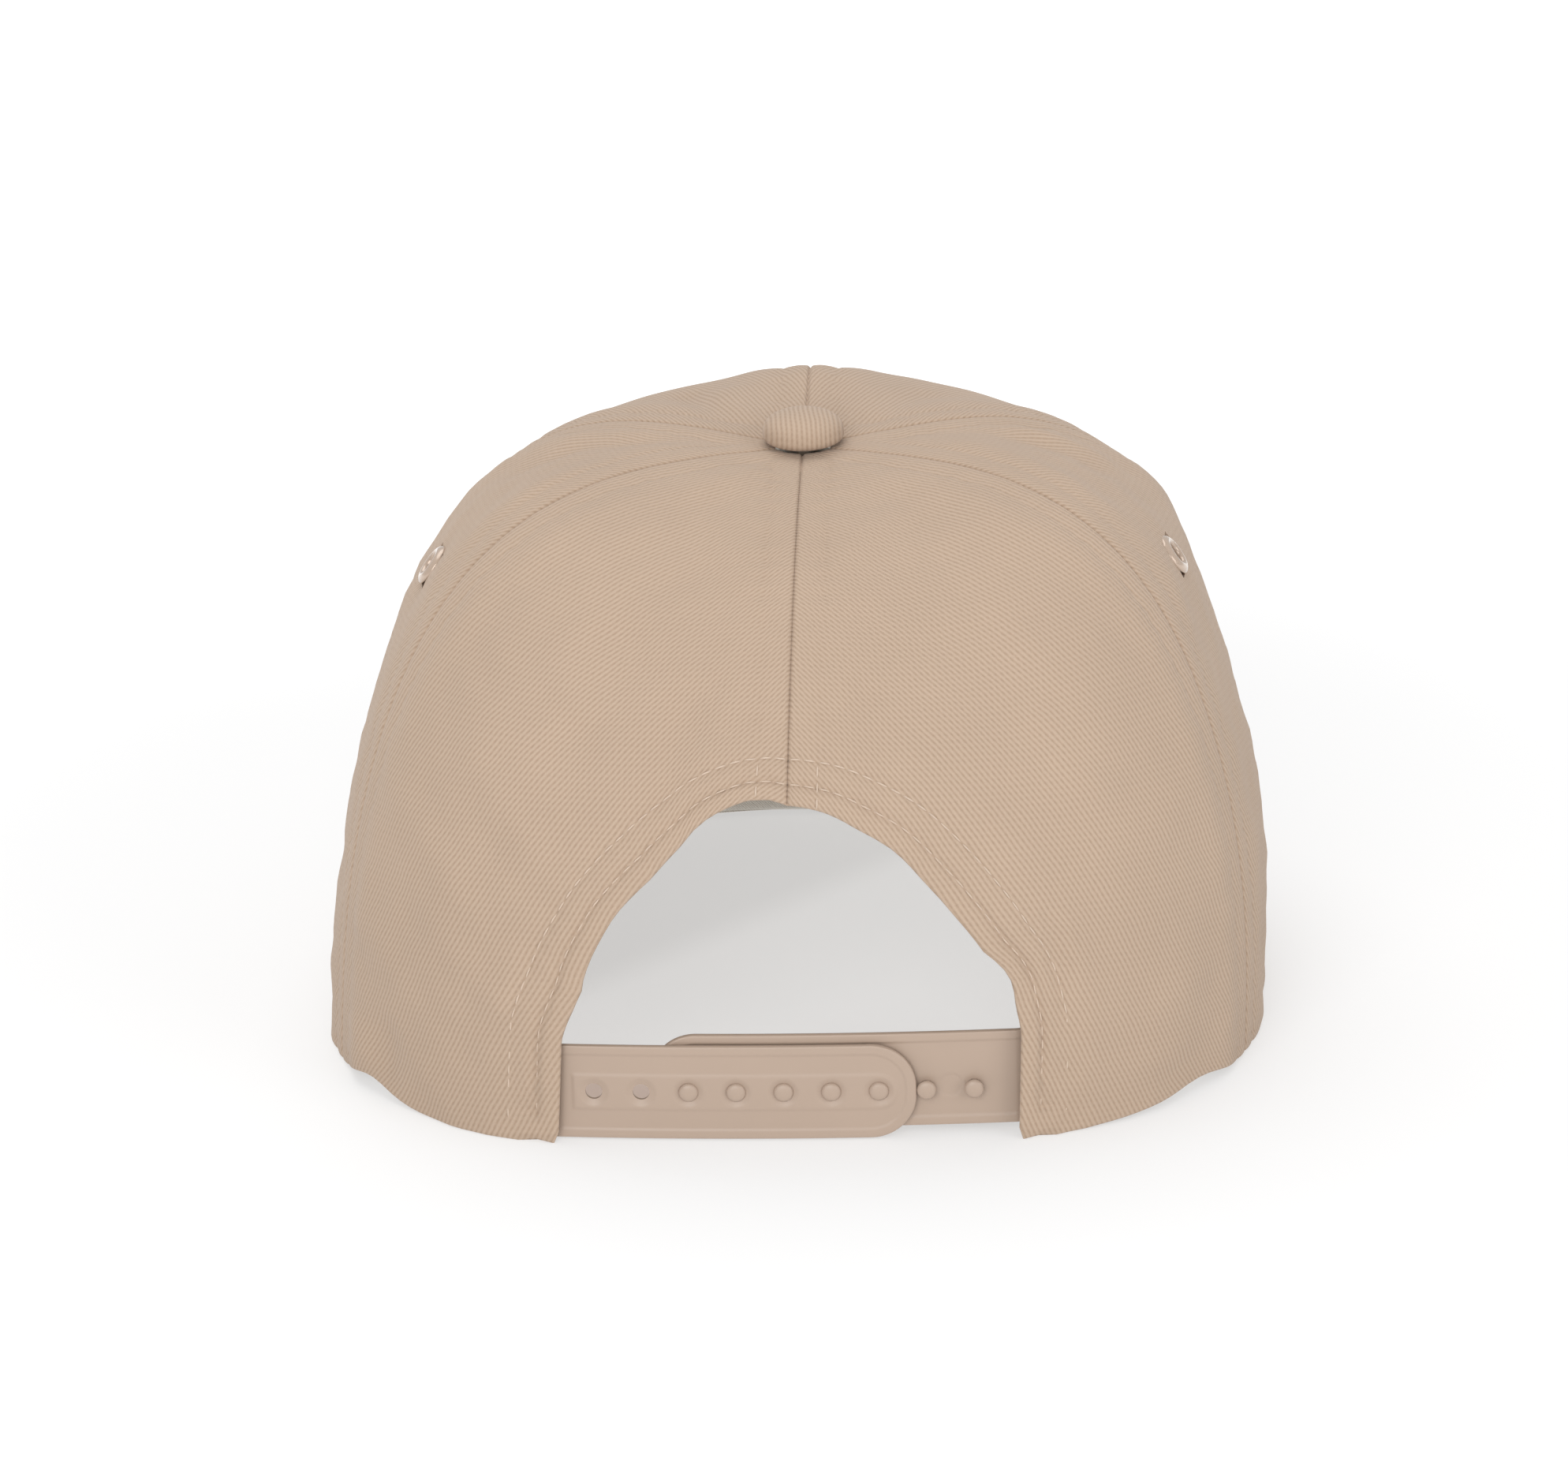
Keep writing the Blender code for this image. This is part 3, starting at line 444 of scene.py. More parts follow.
class Look:
    """A material, with short ways to add nodes to its tree."""

    def __init__(self, name):
        self.material = bpy.data.materials.new(name)
        self.material.use_nodes = True
        self.nodes = self.material.node_tree.nodes
        self.shader = self.nodes["Principled BSDF"]

    def set(self, node, inputs):
        """Gives a node's inputs their values, or links them to other nodes' outputs."""
        for name, value in inputs.items():
            if isinstance(value, bpy.types.NodeSocket):
                self.material.node_tree.links.new(value, node.inputs[name])
            else:
                node.inputs[name].default_value = value

    def add(self, kind, inputs, output=0, **settings):
        """Adds a node and gives one of its outputs."""
        node = self.nodes.new("ShaderNode" + kind)
        for name, value in settings.items():
            setattr(node, name, value)
        self.set(node, inputs)
        return node.outputs[output]

    def math(self, operation, *values):
        return self.add("Math", dict(enumerate(values)), operation=operation)

    def vector_math(self, operation, *values, output=0):
        return self.add("VectorMath", dict(enumerate(values)), output, operation=operation)

    def ramp(self, value, low, high):
        """0 to 1 as a value goes from low to high, or back where high is the lower."""
        return self.add("MapRange", {"From Min": low, "From Max": high, "Value": value},
                        interpolation_type="SMOOTHSTEP")

    def mix(self, first, second, share):
        return self.add("Mix", {"A": (*first, 1), "B": (*second, 1), "Factor": share}, "Result",
                        data_type="RGBA")

    def wave(self, value):
        """A smooth wave between 0 and 1, once for each whole step of a value."""
        return self.math("MULTIPLY_ADD", self.math("COSINE", self.math("MULTIPLY", value, math.tau)),
                         0.5, 0.5)

    def bump(self, height, distance):
        self.set(self.shader, {"Normal": self.add("Bump", {"Distance": distance, "Height": height})})


def twill_material(name, colour, pitch=RIB_PITCH, depth=0.1 * MM, painted_groove_shade=0.80, sheen=0.12):
    """Cotton twill: raised diagonal cords with short pits between them, on stored cloth coordinates. The
    pits and grooves are also painted darker, as painted shade.
    """
    look = Look(name)
    grain = look.add("Attribute", {}, "Vector", attribute_name="grain")
    x = look.add("SeparateXYZ", {0: grain}, 0)
    y = look.add("SeparateXYZ", {0: grain}, 1)
    wander = look.add("TexNoise", {"Scale": 90, "Detail": 2, "Vector": grain})
    fuzz = look.add("TexNoise", {"Scale": 2600, "Detail": 3, "Vector": grain})
    cloudy = look.add("TexNoise", {"Scale": 45, "Detail": 4, "Vector": grain})
    across = look.math("MULTIPLY_ADD", x, 1 / pitch, look.math("MULTIPLY_ADD", wander, 0.9, -0.45))
    along = look.math("MULTIPLY", y, 1 / pitch)
    groove = look.math("POWER", look.wave(across), 1.7)
    cord = look.math("FLOOR", look.math("ADD", across, 0.5))
    beat = look.math("MULTIPLY_ADD", along, 0.62, look.math("MULTIPLY", cord, 0.37))
    hollow = look.math("MULTIPLY", groove, look.math("MULTIPLY_ADD", look.wave(beat), 0.3, 0.7))
    look.bump(look.math("MULTIPLY_ADD", fuzz, 0.35, look.math("MULTIPLY", hollow, -1.0)), depth)
    # Painted shade: the colour darkens in the hollows between the cords, the blue most
    dark = [c * painted_groove_shade ** (1 + 0.25 * k) for k, c in enumerate(colour)]
    fine = look.math("MULTIPLY_ADD", fuzz, 0.16, 0.87)
    value = look.math("MULTIPLY_ADD", cloudy, 0.10, fine)
    tone = look.add("HueSaturation", {"Color": look.mix(colour, dark, hollow), "Value": value})
    look.set(look.shader, {"Base Color": tone, "Roughness": 0.92, "Specular IOR Level": 0.2,
                           "Sheen Weight": sheen, "Sheen Roughness": 0.5})
    return look.material


def plain_material(name, colour, roughness, metallic=0.0, coat=0.0, grain_scale=900,
                   grain_depth=0.02 * MM, variation=0.06, specular=0.5):
    """A smooth finish with a fine unevenness of its own, on object coordinates."""
    look = Look(name)
    place = look.add("TexCoord", {}, "Object")
    noise = look.add("TexNoise", {"Scale": grain_scale, "Detail": 4, "Vector": place})
    large = look.add("TexNoise", {"Scale": 60, "Vector": place})
    look.bump(noise, grain_depth)
    value = look.math("MULTIPLY_ADD", large, variation, 1 - variation / 2)
    tint = look.add("HueSaturation", {"Color": (*colour, 1), "Value": value})
    rough = look.math("MULTIPLY_ADD", large, 0.2, roughness - 0.1)
    look.set(look.shader, {"Base Color": tint, "Roughness": rough, "Metallic": metallic,
                           "Coat Weight": coat, "Specular IOR Level": specular})
    return look.material


TAN = (0.452, 0.343, 0.259)
TWILL = twill_material("twill", TAN)
LINING = twill_material("lining_weave", (0.80, 0.77, 0.71), pitch=0.6 * MM, depth=0.08 * MM,
                        painted_groove_shade=0.8, sheen=0.05)
BUCKRAM = twill_material("buckram_weave", (0.78, 0.77, 0.72), pitch=1.4 * MM, depth=0.2 * MM,
                         painted_groove_shade=0.6, sheen=0.0)
THREAD = plain_material("thread", (0.54, 0.43, 0.34), 0.75, grain_scale=3000, variation=0.15,
                        specular=0.3)
PLASTIC = plain_material("strap_plastic", (0.40, 0.303, 0.237), 0.42, grain_scale=500,
                         grain_depth=0.012 * MM)
ENAMEL = plain_material("eyelet_enamel", (0.47, 0.36, 0.28), 0.22, metallic=0.25, coat=0.6,
                        grain_scale=300, grain_depth=0.006 * MM)
STEEL = plain_material("plated_steel", (0.62, 0.61, 0.59), 0.3, metallic=1.0, grain_scale=700)
BOARD = plain_material("brim_board", (0.82, 0.82, 0.80), 0.55, grain_scale=400)

# ---------------------------------------------------------------- cloth panels

# Grid steps in mm, inwards from a panel's lower edge and from its seams, finest where it curves most
EDGE_STEPS = (0, 0.06, 0.18, 0.35, 0.6, 0.95, 1.4, 2.0, 2.7, 3.4, 4.0, 4.6, 5.2, 5.9, 6.8, 7.8, 8.8,
              9.5, 10.0, 10.6, 11.5, 12.8, 14.5)
SEAM_STEPS = (0, 0.2, 0.42, 0.7, 1.05, 1.5, 2.1, 2.8, 3.6, 4.4, 5.0, 5.4, 5.8, 6.2, 6.7, 7.5, 8.6,
              10.0, 11.8, 14.0)


def stepped_shares(steps, span, pitch, both_ends):
    """Shares of a span, in mm, that begin with the given steps and go on evenly."""
    head = np.array(steps, float) / span
    if both_ends:
        inner = np.linspace(head[-1], 1 - head[-1], int((1 - 2 * head[-1]) * span / pitch) + 1)
        return np.concatenate([head[:-1], inner, (1 - head[:-1])[::-1]])
    rest = np.linspace(head[-1], 1, int((1 - head[-1]) * span / pitch) + 1)
    return np.concatenate([head[:-1], rest])


PANEL_WIDTH, COLUMN_PITCH = 96, 1.7
PANEL_LENGTH, ROW_PITCH = 150, 1.6
COLUMN_SHARES = stepped_shares(SEAM_STEPS, PANEL_WIDTH, COLUMN_PITCH, True)
ROW_SHARES = stepped_shares(EDGE_STEPS, PANEL_LENGTH, ROW_PITCH, False)

RIM_TABLE_ANGLES = np.radians(np.linspace(-270, 270, 4321))


def rim_length(angle):
    """Length along the rim from straight ahead of the wearer's right ear to an angle."""
    x, y = rim_point(RIM_TABLE_ANGLES)
    steps = np.hypot(np.diff(x), np.diff(y))
    lengths = np.concatenate([[0], np.cumsum(steps)])
    return np.interp(angle, RIM_TABLE_ANGLES, lengths)


def meridian_length(angle, rise):
    """Length from the rim to a rise, up the crown at one angle."""
    rises = np.linspace(0, 1, 401)
    line = outer_point(np.full(401, angle), rises)
    lengths = np.concatenate([[0], np.cumsum(np.linalg.norm(np.diff(line, axis=0), axis=-1))])
    return np.interp(rise, rises, lengths)


def cloth_coordinates(angle, rise, first, second, rib_angle):
    """Cloth coordinates across and along the ribs, for a panel on the wearer's right.

    A panel is cut with its grain up its own middle, so the ribs meet the seams at other angles."""
    middle = (seam_angle(first, rise) + seam_angle(second, rise)) / 2
    across = reach_and_height(angle, rise)[0] * (rim_length(angle) - rim_length(middle))
    up = meridian_length(float(middle.mean()), rise)
    c, s = math.cos(math.radians(rib_angle)), math.sin(math.radians(rib_angle))
    return np.stack([across * s + up * c, up * s - across * c, np.zeros_like(up)], -1)


def seam_line(seam):
    """A seam as points on the smooth crown; the next two do the same for the arch and the rim."""
    rises = np.linspace(0, 1, 121)
    return outer_point(seam_angle(seam, rises), rises)


def arch_line():
    x, height = arch_outline(np.linspace(0, 1, 90))
    angle, rise = locate_rear(x, height)
    return outer_point(angle, rise)


def rim_line(first, last):
    angles = np.linspace(first, last, 90)
    return outer_point(angles, np.zeros(90))


HEM_ANGLE = float(locate_rear(np.array(HEM_X), np.array(0.0))[0])
ARCH_LINE = arch_line()
SEAM_LINES = {"rear": seam_line(REAR_SEAM), "rear_side": seam_line(REAR_SIDE_SEAM),
              "front_side": seam_line(FRONT_SIDE_SEAM), "front": seam_line(FRONT_SEAM)}


# Where the hem stands off the floor: angle and spread in degrees, height, and how far up it fades
RIM_LIFTS = ((214, 8, 3.2 * MM), (323, 10, 2.8 * MM), (308, 8, 0.7 * MM))
RIM_LIFT_REACH = 30 * MM


def rim_lift(angle, height):
    """The hem stands off the floor where the cloth pulls."""
    total = np.zeros_like(height)
    for middle, spread, amount in RIM_LIFTS:
        turn = (np.degrees(angle) - middle + 180) % 360 - 180
        total += amount * bell(turn, spread)
    return total * np.clip(1 - height / RIM_LIFT_REACH, 0, 1) ** 2


# How much of the cloth's unevenness is left where buckram stiffens it
STIFFENED = 0.3


class Cloth:
    """One panel of the crown as grids: places, outer and inner surface, distances to its edges."""

    def __init__(self, name, left, first, second, seams, angle, rise, rear, rib_angle):
        self.name, self.rear = name, rear
        self.grain = cloth_coordinates(angle, rise, first, second, rib_angle)
        base = outer_point(angle, rise)
        self.first_gap = distance_to_line(base, SEAM_LINES[seams[0]])
        self.second_gap = distance_to_line(base, SEAM_LINES[seams[1]])
        rim = rim_line(HEM_ANGLE if rear else first[0], second[0])
        self.edge_gap = distance_to_line(base, rim)
        self.arch_gap = distance_to_line(base, ARCH_LINE) if rear else np.full(base.shape[:-1], 1.0)
        self.angle = math.pi - angle if left else angle
        self.rise = rise
        self.base = outer_point(self.angle, rise)
        self.normal = crown_normal(self.angle, rise)

    def relief(self):
        """How far the cloth stands out from the smooth crown."""
        seam_gap = np.minimum(self.first_gap, self.second_gap)
        total = seam_relief(seam_gap)
        quiet = smooth_step(seam_gap, 2 * MM, 16 * MM)
        if self.rear:
            total = total + arch_relief(self.arch_gap, self.base)
            quiet = quiet * smooth_step(self.arch_gap, 2 * MM, 14 * MM)
        wrinkle = 0.35 * MM * soft_noise(self.base, 26 * MM, 4)
        wrinkle = wrinkle + 0.22 * MM * soft_noise(self.base, 11 * MM, 9)
        wrinkle = wrinkle * (STIFFENED if self.name.startswith("front") else 1)
        pucker = 0.16 * MM * np.sin(self.rise * 150 * math.tau / 5.2 + 2 * np.sin(self.rise * 37))
        pucker = pucker * bell(seam_gap - TOPSTITCH_SIDE, 3.5 * MM)
        return (total + wrinkle * quiet + pucker + swell_relief(self.angle, self.rise)
                + fold_relief(self.base) * (0.3 + 0.7 * quiet))

    def surfaces(self):
        """The outer and the inner surface, as grids of points."""
        relief = self.relief()
        # The cloth is thicker where its hem is folded in, and thins to a rounded edge
        hem = smooth_step(-self.edge_gap, -HEM_DEPTH, -HEM_DEPTH + 1.5 * MM) * 0.3 * MM
        arch_hem = smooth_step(-self.arch_gap, -9 * MM, -7.5 * MM) * 0.4 * MM
        under = CLOTH_THICKNESS + np.maximum(hem, arch_hem)
        low = np.minimum(np.maximum(relief, -0.35 * MM) - under, relief - 0.3 * MM)
        half = (relief - low) / 2
        gap = np.minimum(self.edge_gap, self.arch_gap)
        inside = np.clip(half - gap, 0, None)
        round_off = half - np.sqrt(np.maximum(half ** 2 - inside ** 2, 0))
        high, low = relief - round_off, low + round_off
        base = arch_warp(self.base, self.normal, self.arch_gap) if self.rear else self.base.copy()
        base[..., 2] += rim_lift(self.angle, base[..., 2])
        normal = self.normal.copy()
        # Near the rim the thickness runs level, so that the edge stands flat
        level = np.clip(1 - self.base[..., 2:] / (6 * MM), 0, 1)
        normal[..., 2:] *= 1 - level
        normal = unit(normal)
        return base + normal * high[..., None], base + normal * low[..., None]


def arch_relief(gap, points):
    """A turned hem with two stitched grooves beside the arch's edge, and small puckers."""
    first, second = ARCH_STITCHES
    x = points[..., 0] + points[..., 2]
    ripple = 0.14 * MM * np.sin(x / (4.2 * MM) * math.tau / 1.6 + 1.3 * np.sin(x / (9 * MM)))
    puckers = ripple * bell(gap - 7 * MM, 5 * MM)
    roll = 0.25 * MM * bell(gap - 2.2 * MM, 1.8 * MM)
    deep = 0.6 + 0.5 * np.clip(1 - points[..., 2] / (42 * MM), 0, 1)
    grooves = -deep * MM * bell(gap - first, 0.7 * MM) - 0.42 * MM * bell(gap - second, 0.8 * MM)
    between = 0.28 * MM * bell(gap - 7.3 * MM, 1.8 * MM)
    beyond = 0.4 * MM * bell(gap - 14.0 * MM, 3.5 * MM)
    return roll + grooves + between + beyond + puckers


def closed_sheet(outer, inner, keep=None):
    """Vertices and faces of a closed sheet between two grids, without the cells not kept."""
    rows, columns = outer.shape[:2]
    if keep is None:
        keep = np.ones((rows - 1, columns - 1), bool)
    number = np.arange(rows * columns).reshape(rows, columns)
    a, b, c, d = number[:-1, :-1], number[:-1, 1:], number[1:, 1:], number[1:, :-1]
    top = np.stack([a, b, c, d], -1)[keep]
    offset = rows * columns
    bottom = top[:, ::-1] + offset
    padded = np.pad(keep, 1)
    walls = []
    for near, first, second in ((padded[:-2, 1:-1], b, a), (padded[1:-1, 2:], c, b),
                                (padded[2:, 1:-1], d, c), (padded[1:-1, :-2], a, d)):
        bare = keep & ~near
        e, f = first[bare], second[bare]
        walls.append(np.stack([e, f, f + offset, e + offset], -1))
    faces = np.concatenate([top, bottom] + walls)
    vertices = np.concatenate([outer.reshape(-1, 3), inner.reshape(-1, 3)])
    used = np.unique(faces)
    index = np.full(len(vertices), -1)
    index[used] = np.arange(len(used))
    return vertices[used], index[faces], used


def sheet_object(name, outer, inner, material, grain=None, keep=None, smooth_angle=50):
    """A closed sheet as an object, with cloth coordinates of its own or from its place."""
    vertices, faces, used = closed_sheet(outer, inner, keep)
    item = new_object(name, vertices, faces.tolist(), material, smooth_angle)
    flip_if_inside_out(item)
    if grain is None:
        grain = np.stack([vertices[:, 0] + vertices[:, 2], vertices[:, 1], vertices[:, 2]], -1)
    else:
        grain = np.concatenate([grain.reshape(-1, 3)] * 2)[used]
    set_grain(item, grain)
    return item


# The share of a rear panel's columns that end on the arch
REAR_ARCH_SHARE = 0.62


def panel_grid(first, second, rear):
    """Angles and rises for a panel on the wearer's right."""
    shares, climbs = COLUMN_SHARES[None, :], ROW_SHARES[:, None]
    if not rear:
        rise = climbs + 0 * shares
        angle = lerp(seam_angle(first, rise), seam_angle(second, rise), shares + 0 * climbs)
        return angle, rise
    start = REAR_ARCH_SHARE
    edge_x, edge_height = arch_outline(np.clip(1 - COLUMN_SHARES / start, 0, 1))
    arch_angle, arch_rise = locate_rear(edge_x, edge_height)
    along_rim = (COLUMN_SHARES - start) / (1 - start)
    in_arch = COLUMN_SHARES < start
    edge_angle = np.where(in_arch, arch_angle, lerp(HEM_ANGLE, second[0], along_rim))
    edge_rise = np.where(in_arch, arch_rise, 0.0)
    rise = lerp(edge_rise[None, :], 1, climbs + 0 * shares)
    plain = lerp(seam_angle(first, rise), seam_angle(second, rise), shares + 0 * climbs)
    pull = (edge_angle - lerp(first[0], second[0], COLUMN_SHARES))[None, :] * (1 - climbs) ** 1.5
    pull[:, 0] = 0
    pull[:, -1] = 0
    return plain + pull, rise


PANELS = {
    "rear_panel": (REAR_SEAM, REAR_SIDE_SEAM, ("rear", "rear_side"), True, 64),
    "side_panel": (REAR_SIDE_SEAM, FRONT_SIDE_SEAM, ("rear_side", "front_side"), False, 70),
    "front_panel": (FRONT_SIDE_SEAM, FRONT_SEAM, ("front_side", "front"), False, 80),
}
EYELET_ANGLE = math.radians(-5)
EYELET_RISE = 0.56
EYELET_CLEARANCE = 3.2 * MM
EYELET_RADII = (2.3 * MM, 4.6 * MM, 2.9 * MM, 4.6 * MM)


def make_panels():
    cloths = []
    for name, (first, second, seams, rear, rib_angle) in PANELS.items():
        angle, rise = panel_grid(first, second, rear)
        for left in (False, True):
            side = "left" if left else "right"
            cloth = Cloth(f"{name}_{side}", left, first, second, seams, angle, rise, rear, rib_angle)
            outer, inner = cloth.surfaces()
            cloth.outer = outer
            keep = None
            if name == "side_panel":
                centre = outer_point(EYELET_ANGLE, EYELET_RISE)
                away = np.linalg.norm(outer_point(angle, rise) - centre, axis=-1) > EYELET_CLEARANCE
                keep = away[:-1, :-1] & away[1:, :-1] & away[:-1, 1:] & away[1:, 1:]
            item = sheet_object(f"{name}_{side}_twill", outer, inner, TWILL, cloth.grain, keep)
            fix(item, "crown", "twill", f"{name}_{side}")
            cloths.append(cloth)
    return cloths


def crown_stitches(cloths):
    """Topstitching beside each seam, and in two rows round the arch."""
    runs = []
    for cloth in cloths:
        up = unit(np.cross(np.gradient(cloth.outer, axis=1), np.gradient(cloth.outer, axis=0)))
        up *= np.sign((up * cloth.normal).sum(-1, keepdims=True))
        clear = np.where(cloth.arch_gap > ARCH_STITCHES[1] + 1 * MM, 0, 1)
        for gap, reverse in ((cloth.first_gap, False), (cloth.second_gap, True)):
            line, ups = line_across_rows(cloth.outer, up, gap, TOPSTITCH_SIDE, reverse, clear)
            runs.append((line, ups))
        if cloth.rear:
            turned = (cloth.outer.swapaxes(0, 1), up.swapaxes(0, 1))
            for level in ARCH_STITCHES:
                line, ups = line_across_rows(*turned, cloth.arch_gap.T, level, False, None)
                runs.append((line, ups))
    return stitch_mesh(runs, "crown_topstitching", THREAD)


# ---------------------------------------------------------------- button and eyelets

def turned(name, profile, centre, axis, material, segments=64, grain_turn=0.0):
    """A closed turned piece: profile points are (radius, height along the axis)."""
    axis = Vector(axis).normalized()
    side = axis.orthogonal().normalized()
    other = axis.cross(side)
    spots = [side * math.cos(turn) + other * math.sin(turn)
             for turn in (math.tau * k / segments for k in range(segments))]
    vertices = [Vector(centre) + axis * height + spot * radius
                for radius, height in profile for spot in spots]
    rings = len(profile)
    closed = profile[0][0] > 1e-6 and profile[-1][0] > 1e-6
    faces = []
    for i in range(rings if closed else rings - 1):
        low, high = i * segments, (i + 1) % rings * segments
        for k in range(segments):
            n = (k + 1) % segments
            faces.append((low + k, low + n, high + n, high + k))
    item = new_object(name, vertices, faces, material)
    shape = bmesh.new()
    shape.from_mesh(item.data)
    if not closed:
        bmesh.ops.remove_doubles(shape, verts=shape.verts, dist=1e-6)
    bmesh.ops.recalc_face_normals(shape, faces=shape.faces)
    shape.to_mesh(item.data)
    shape.free()
    x, y, z = np.array([v.co for v in item.data.vertices]).T
    c, s = math.cos(grain_turn), math.sin(grain_turn)
    set_grain(item, np.stack([x * c + y * s, z + y * c - x * s, 0 * x], -1))
    return item


def make_button():
    """The covered button: a low dome of twill, pulled in under its edge."""
    radius = (BUTTON_HIGH.x - BUTTON_LOW.x) / 2
    tall = BUTTON_HIGH.z - BUTTON_LOW.z
    profile = [(0, tall + 0.1 * MM)]
    for k in range(1, 17):
        turn = math.pi / 2 * k / 16
        profile.append((radius * math.sin(turn) ** 0.9, tall * (0.28 + 0.72 * math.cos(turn) ** 0.85)))
    profile += [(radius * 1.005, tall * 0.2), (radius * 0.985, tall * 0.1), (radius * 0.94, 0.1 * MM),
                (radius * 0.8, -0.5 * MM), (0, -0.5 * MM)]
    centre = (BUTTON_X, CROWN_CENTRE_Y, BUTTON_LOW.z)
    button = turned("button_cover_twill", profile, centre, (0, 0, 1), TWILL, 96, 0.12)
    fix(button, "crown", "twill", "button_cover", "button_shell")


def make_eyelets():
    """Rolled metal rings over the panels' air holes, with a barrel that is spread out inside."""
    hole, outer, barrel, spread = EYELET_RADII
    for side, angle in (("right", EYELET_ANGLE), ("left", math.pi - EYELET_ANGLE)):
        out = crown_normal(angle, EYELET_RISE)
        swell = float(swell_relief(np.array(angle), EYELET_RISE))
        centre = outer_point(angle, EYELET_RISE) + out * swell
        deep = -2.0 * MM - swell
        ring = [(hole, 0.1 * MM), (hole + 0.15 * MM, 0.6 * MM), (barrel, 0.92 * MM),
                (hole + 1.2 * MM, 0.9 * MM), (outer - 0.5 * MM, 0.55 * MM), (outer - 0.1 * MM, 0.15 * MM),
                (outer, -0.2 * MM), (outer - 0.2 * MM, -0.45 * MM), (barrel, -0.45 * MM),
                (barrel, deep + 0.1 * MM), (spread, deep), (spread, deep - 0.3 * MM),
                (hole + 0.3 * MM, deep - 0.35 * MM), (hole, deep)]
        item = turned(f"eyelet_{side}_ring", rounded_loop(ring), centre, out, ENAMEL)
        fix(item, "crown", "eyelet_enamel", f"eyelet_{side}")


def rounded_loop(points, steps=3):
    """A closed profile smoothed by cutting its corners."""
    loop = np.array(points, float)
    for _ in range(steps - 1):
        ahead = np.roll(loop, -1, axis=0)
        loop = np.stack([0.75 * loop + 0.25 * ahead, 0.25 * loop + 0.75 * ahead], 1).reshape(-1, 2)
    return [tuple(p) for p in loop]


# ---------------------------------------------------------------- snap straps

STRAP_PIVOT_X = 45.5 * MM
STRAP_LENGTH = 72 * MM
STRAP_HEIGHT = 20.2 * MM
STRAP_THICKNESS = 1.3 * MM
STRAP_BOW = 1.8 * MM
STRAP_SNAPS = tuple((7.5 + 9.5 * k) * MM for k in range(7))
HOLE_STRAP = {"side": -1, "depth": 2.3 * MM, "bottom": 0.3 * MM}
PEG_STRAP = {"side": 1, "depth": 3.9 * MM, "bottom": 2.1 * MM}
SNAP_Z = HOLE_STRAP["bottom"] + STRAP_HEIGHT / 2
HOLE_RADIUS = 1.7 * MM
COUNTERSINK = 3.05 * MM
STRAP_STEP = 0.3 * MM
STRAP_ROOT = 9 * MM
STRAP_TIP = 9.2 * MM
STRAP_ROUNDING = 0.45 * MM
PEG_STEM, PEG_HEAD, PEG_TOP = 1.3 * MM, 1.95 * MM, -1.92 * MM


def strap_line(x):
    """The line on which the straps lie, seen from above: bowed a little between the two hems."""
    return HEM_Y - STRAP_BOW * (1 - (x / HEM_X) ** 2)


def hem_curve():
    """How far forward the crown's wall runs behind the hem, against x, at the straps' height."""
    x = np.linspace(HEM_X, HEM_X + 14 * MM, 15)
    y = outer_point(*locate_rear(x, np.full(x.shape, SNAP_Z)))[..., 1]
    return x, y - y[0]


BEHIND_HEM = hem_curve()
HEM_Y = float(outer_point(np.array(HEM_ANGLE), np.array(0.0))[1])


def strap_place(strap, s, d, z):
    """A strap point: s along from its pivot, d in from its outer face, z up."""
    x = strap["side"] * (STRAP_PIVOT_X - s)
    y = strap_line(np.clip(x, -HEM_X, HEM_X)) + np.interp(np.abs(x), *BEHIND_HEM)
    return np.stack([x, y + strap["depth"] + d, z + 0 * x], -1)


def strap_outline_gap(s, z, middle):
    """How far inside the strap's outline a point lies; its tip is a rounded end."""
    half = STRAP_HEIGHT / 2
    across = np.abs(z - middle)
    dx = np.clip(s - (STRAP_LENGTH - STRAP_TIP), 0, None)
    dz = np.clip(across - (half - STRAP_TIP), 0, None)
    in_tip = s > STRAP_LENGTH - STRAP_TIP
    return np.where(in_tip, STRAP_TIP - np.hypot(dx, dz), half - across)


def half_height(s):
    """Half the strap's height at a place along it; it falls in a curve at the tip."""
    dx = np.clip(s - (STRAP_LENGTH - STRAP_TIP), 0, STRAP_TIP)
    return STRAP_HEIGHT / 2 - STRAP_TIP + np.sqrt(np.maximum(STRAP_TIP ** 2 - dx ** 2, 0))


def strap_relief(s, z, middle, gap, holes):
    """Depth below the strap's highest face: a rim bead, a sunk field, a raised band, countersinks."""
    field, band_half = 0.3 * MM, 3.9 * MM
    bead = smooth_step(-gap, -2.3 * MM, -1.7 * MM)
    across = np.abs(z - middle)
    start, finish = 3.2 * MM, STRAP_LENGTH - 3.6 * MM
    ahead = np.clip(s - (finish - band_half), 0, None)
    band_gap = np.where(ahead > 0, band_half - np.hypot(ahead, across), band_half - across)
    band_gap = np.minimum(band_gap, s - start)
    band = smooth_step(band_gap, -0.2 * MM, 0.5 * MM) * (0.75 if holes else 0)
    depth = field * (1 - np.maximum(bead, band))
    nearest = np.min([np.hypot(s - snap, z - SNAP_Z) for snap in STRAP_SNAPS], axis=0)
    if holes:
        sink = np.clip((COUNTERSINK - nearest) / (COUNTERSINK - HOLE_RADIUS), 0, 1)
        depth = np.maximum(depth, 0.5 * MM * sink ** 0.8 + field * 0.25)
    else:
        marks = np.min([np.hypot(s - snap - 4.75 * MM, z - SNAP_Z - 0.4 * MM) for snap in STRAP_SNAPS],
                       axis=0)
        depth = depth + 0.16 * MM * smooth_step(-marks, -2.6 * MM, -2.3 * MM)
    return depth


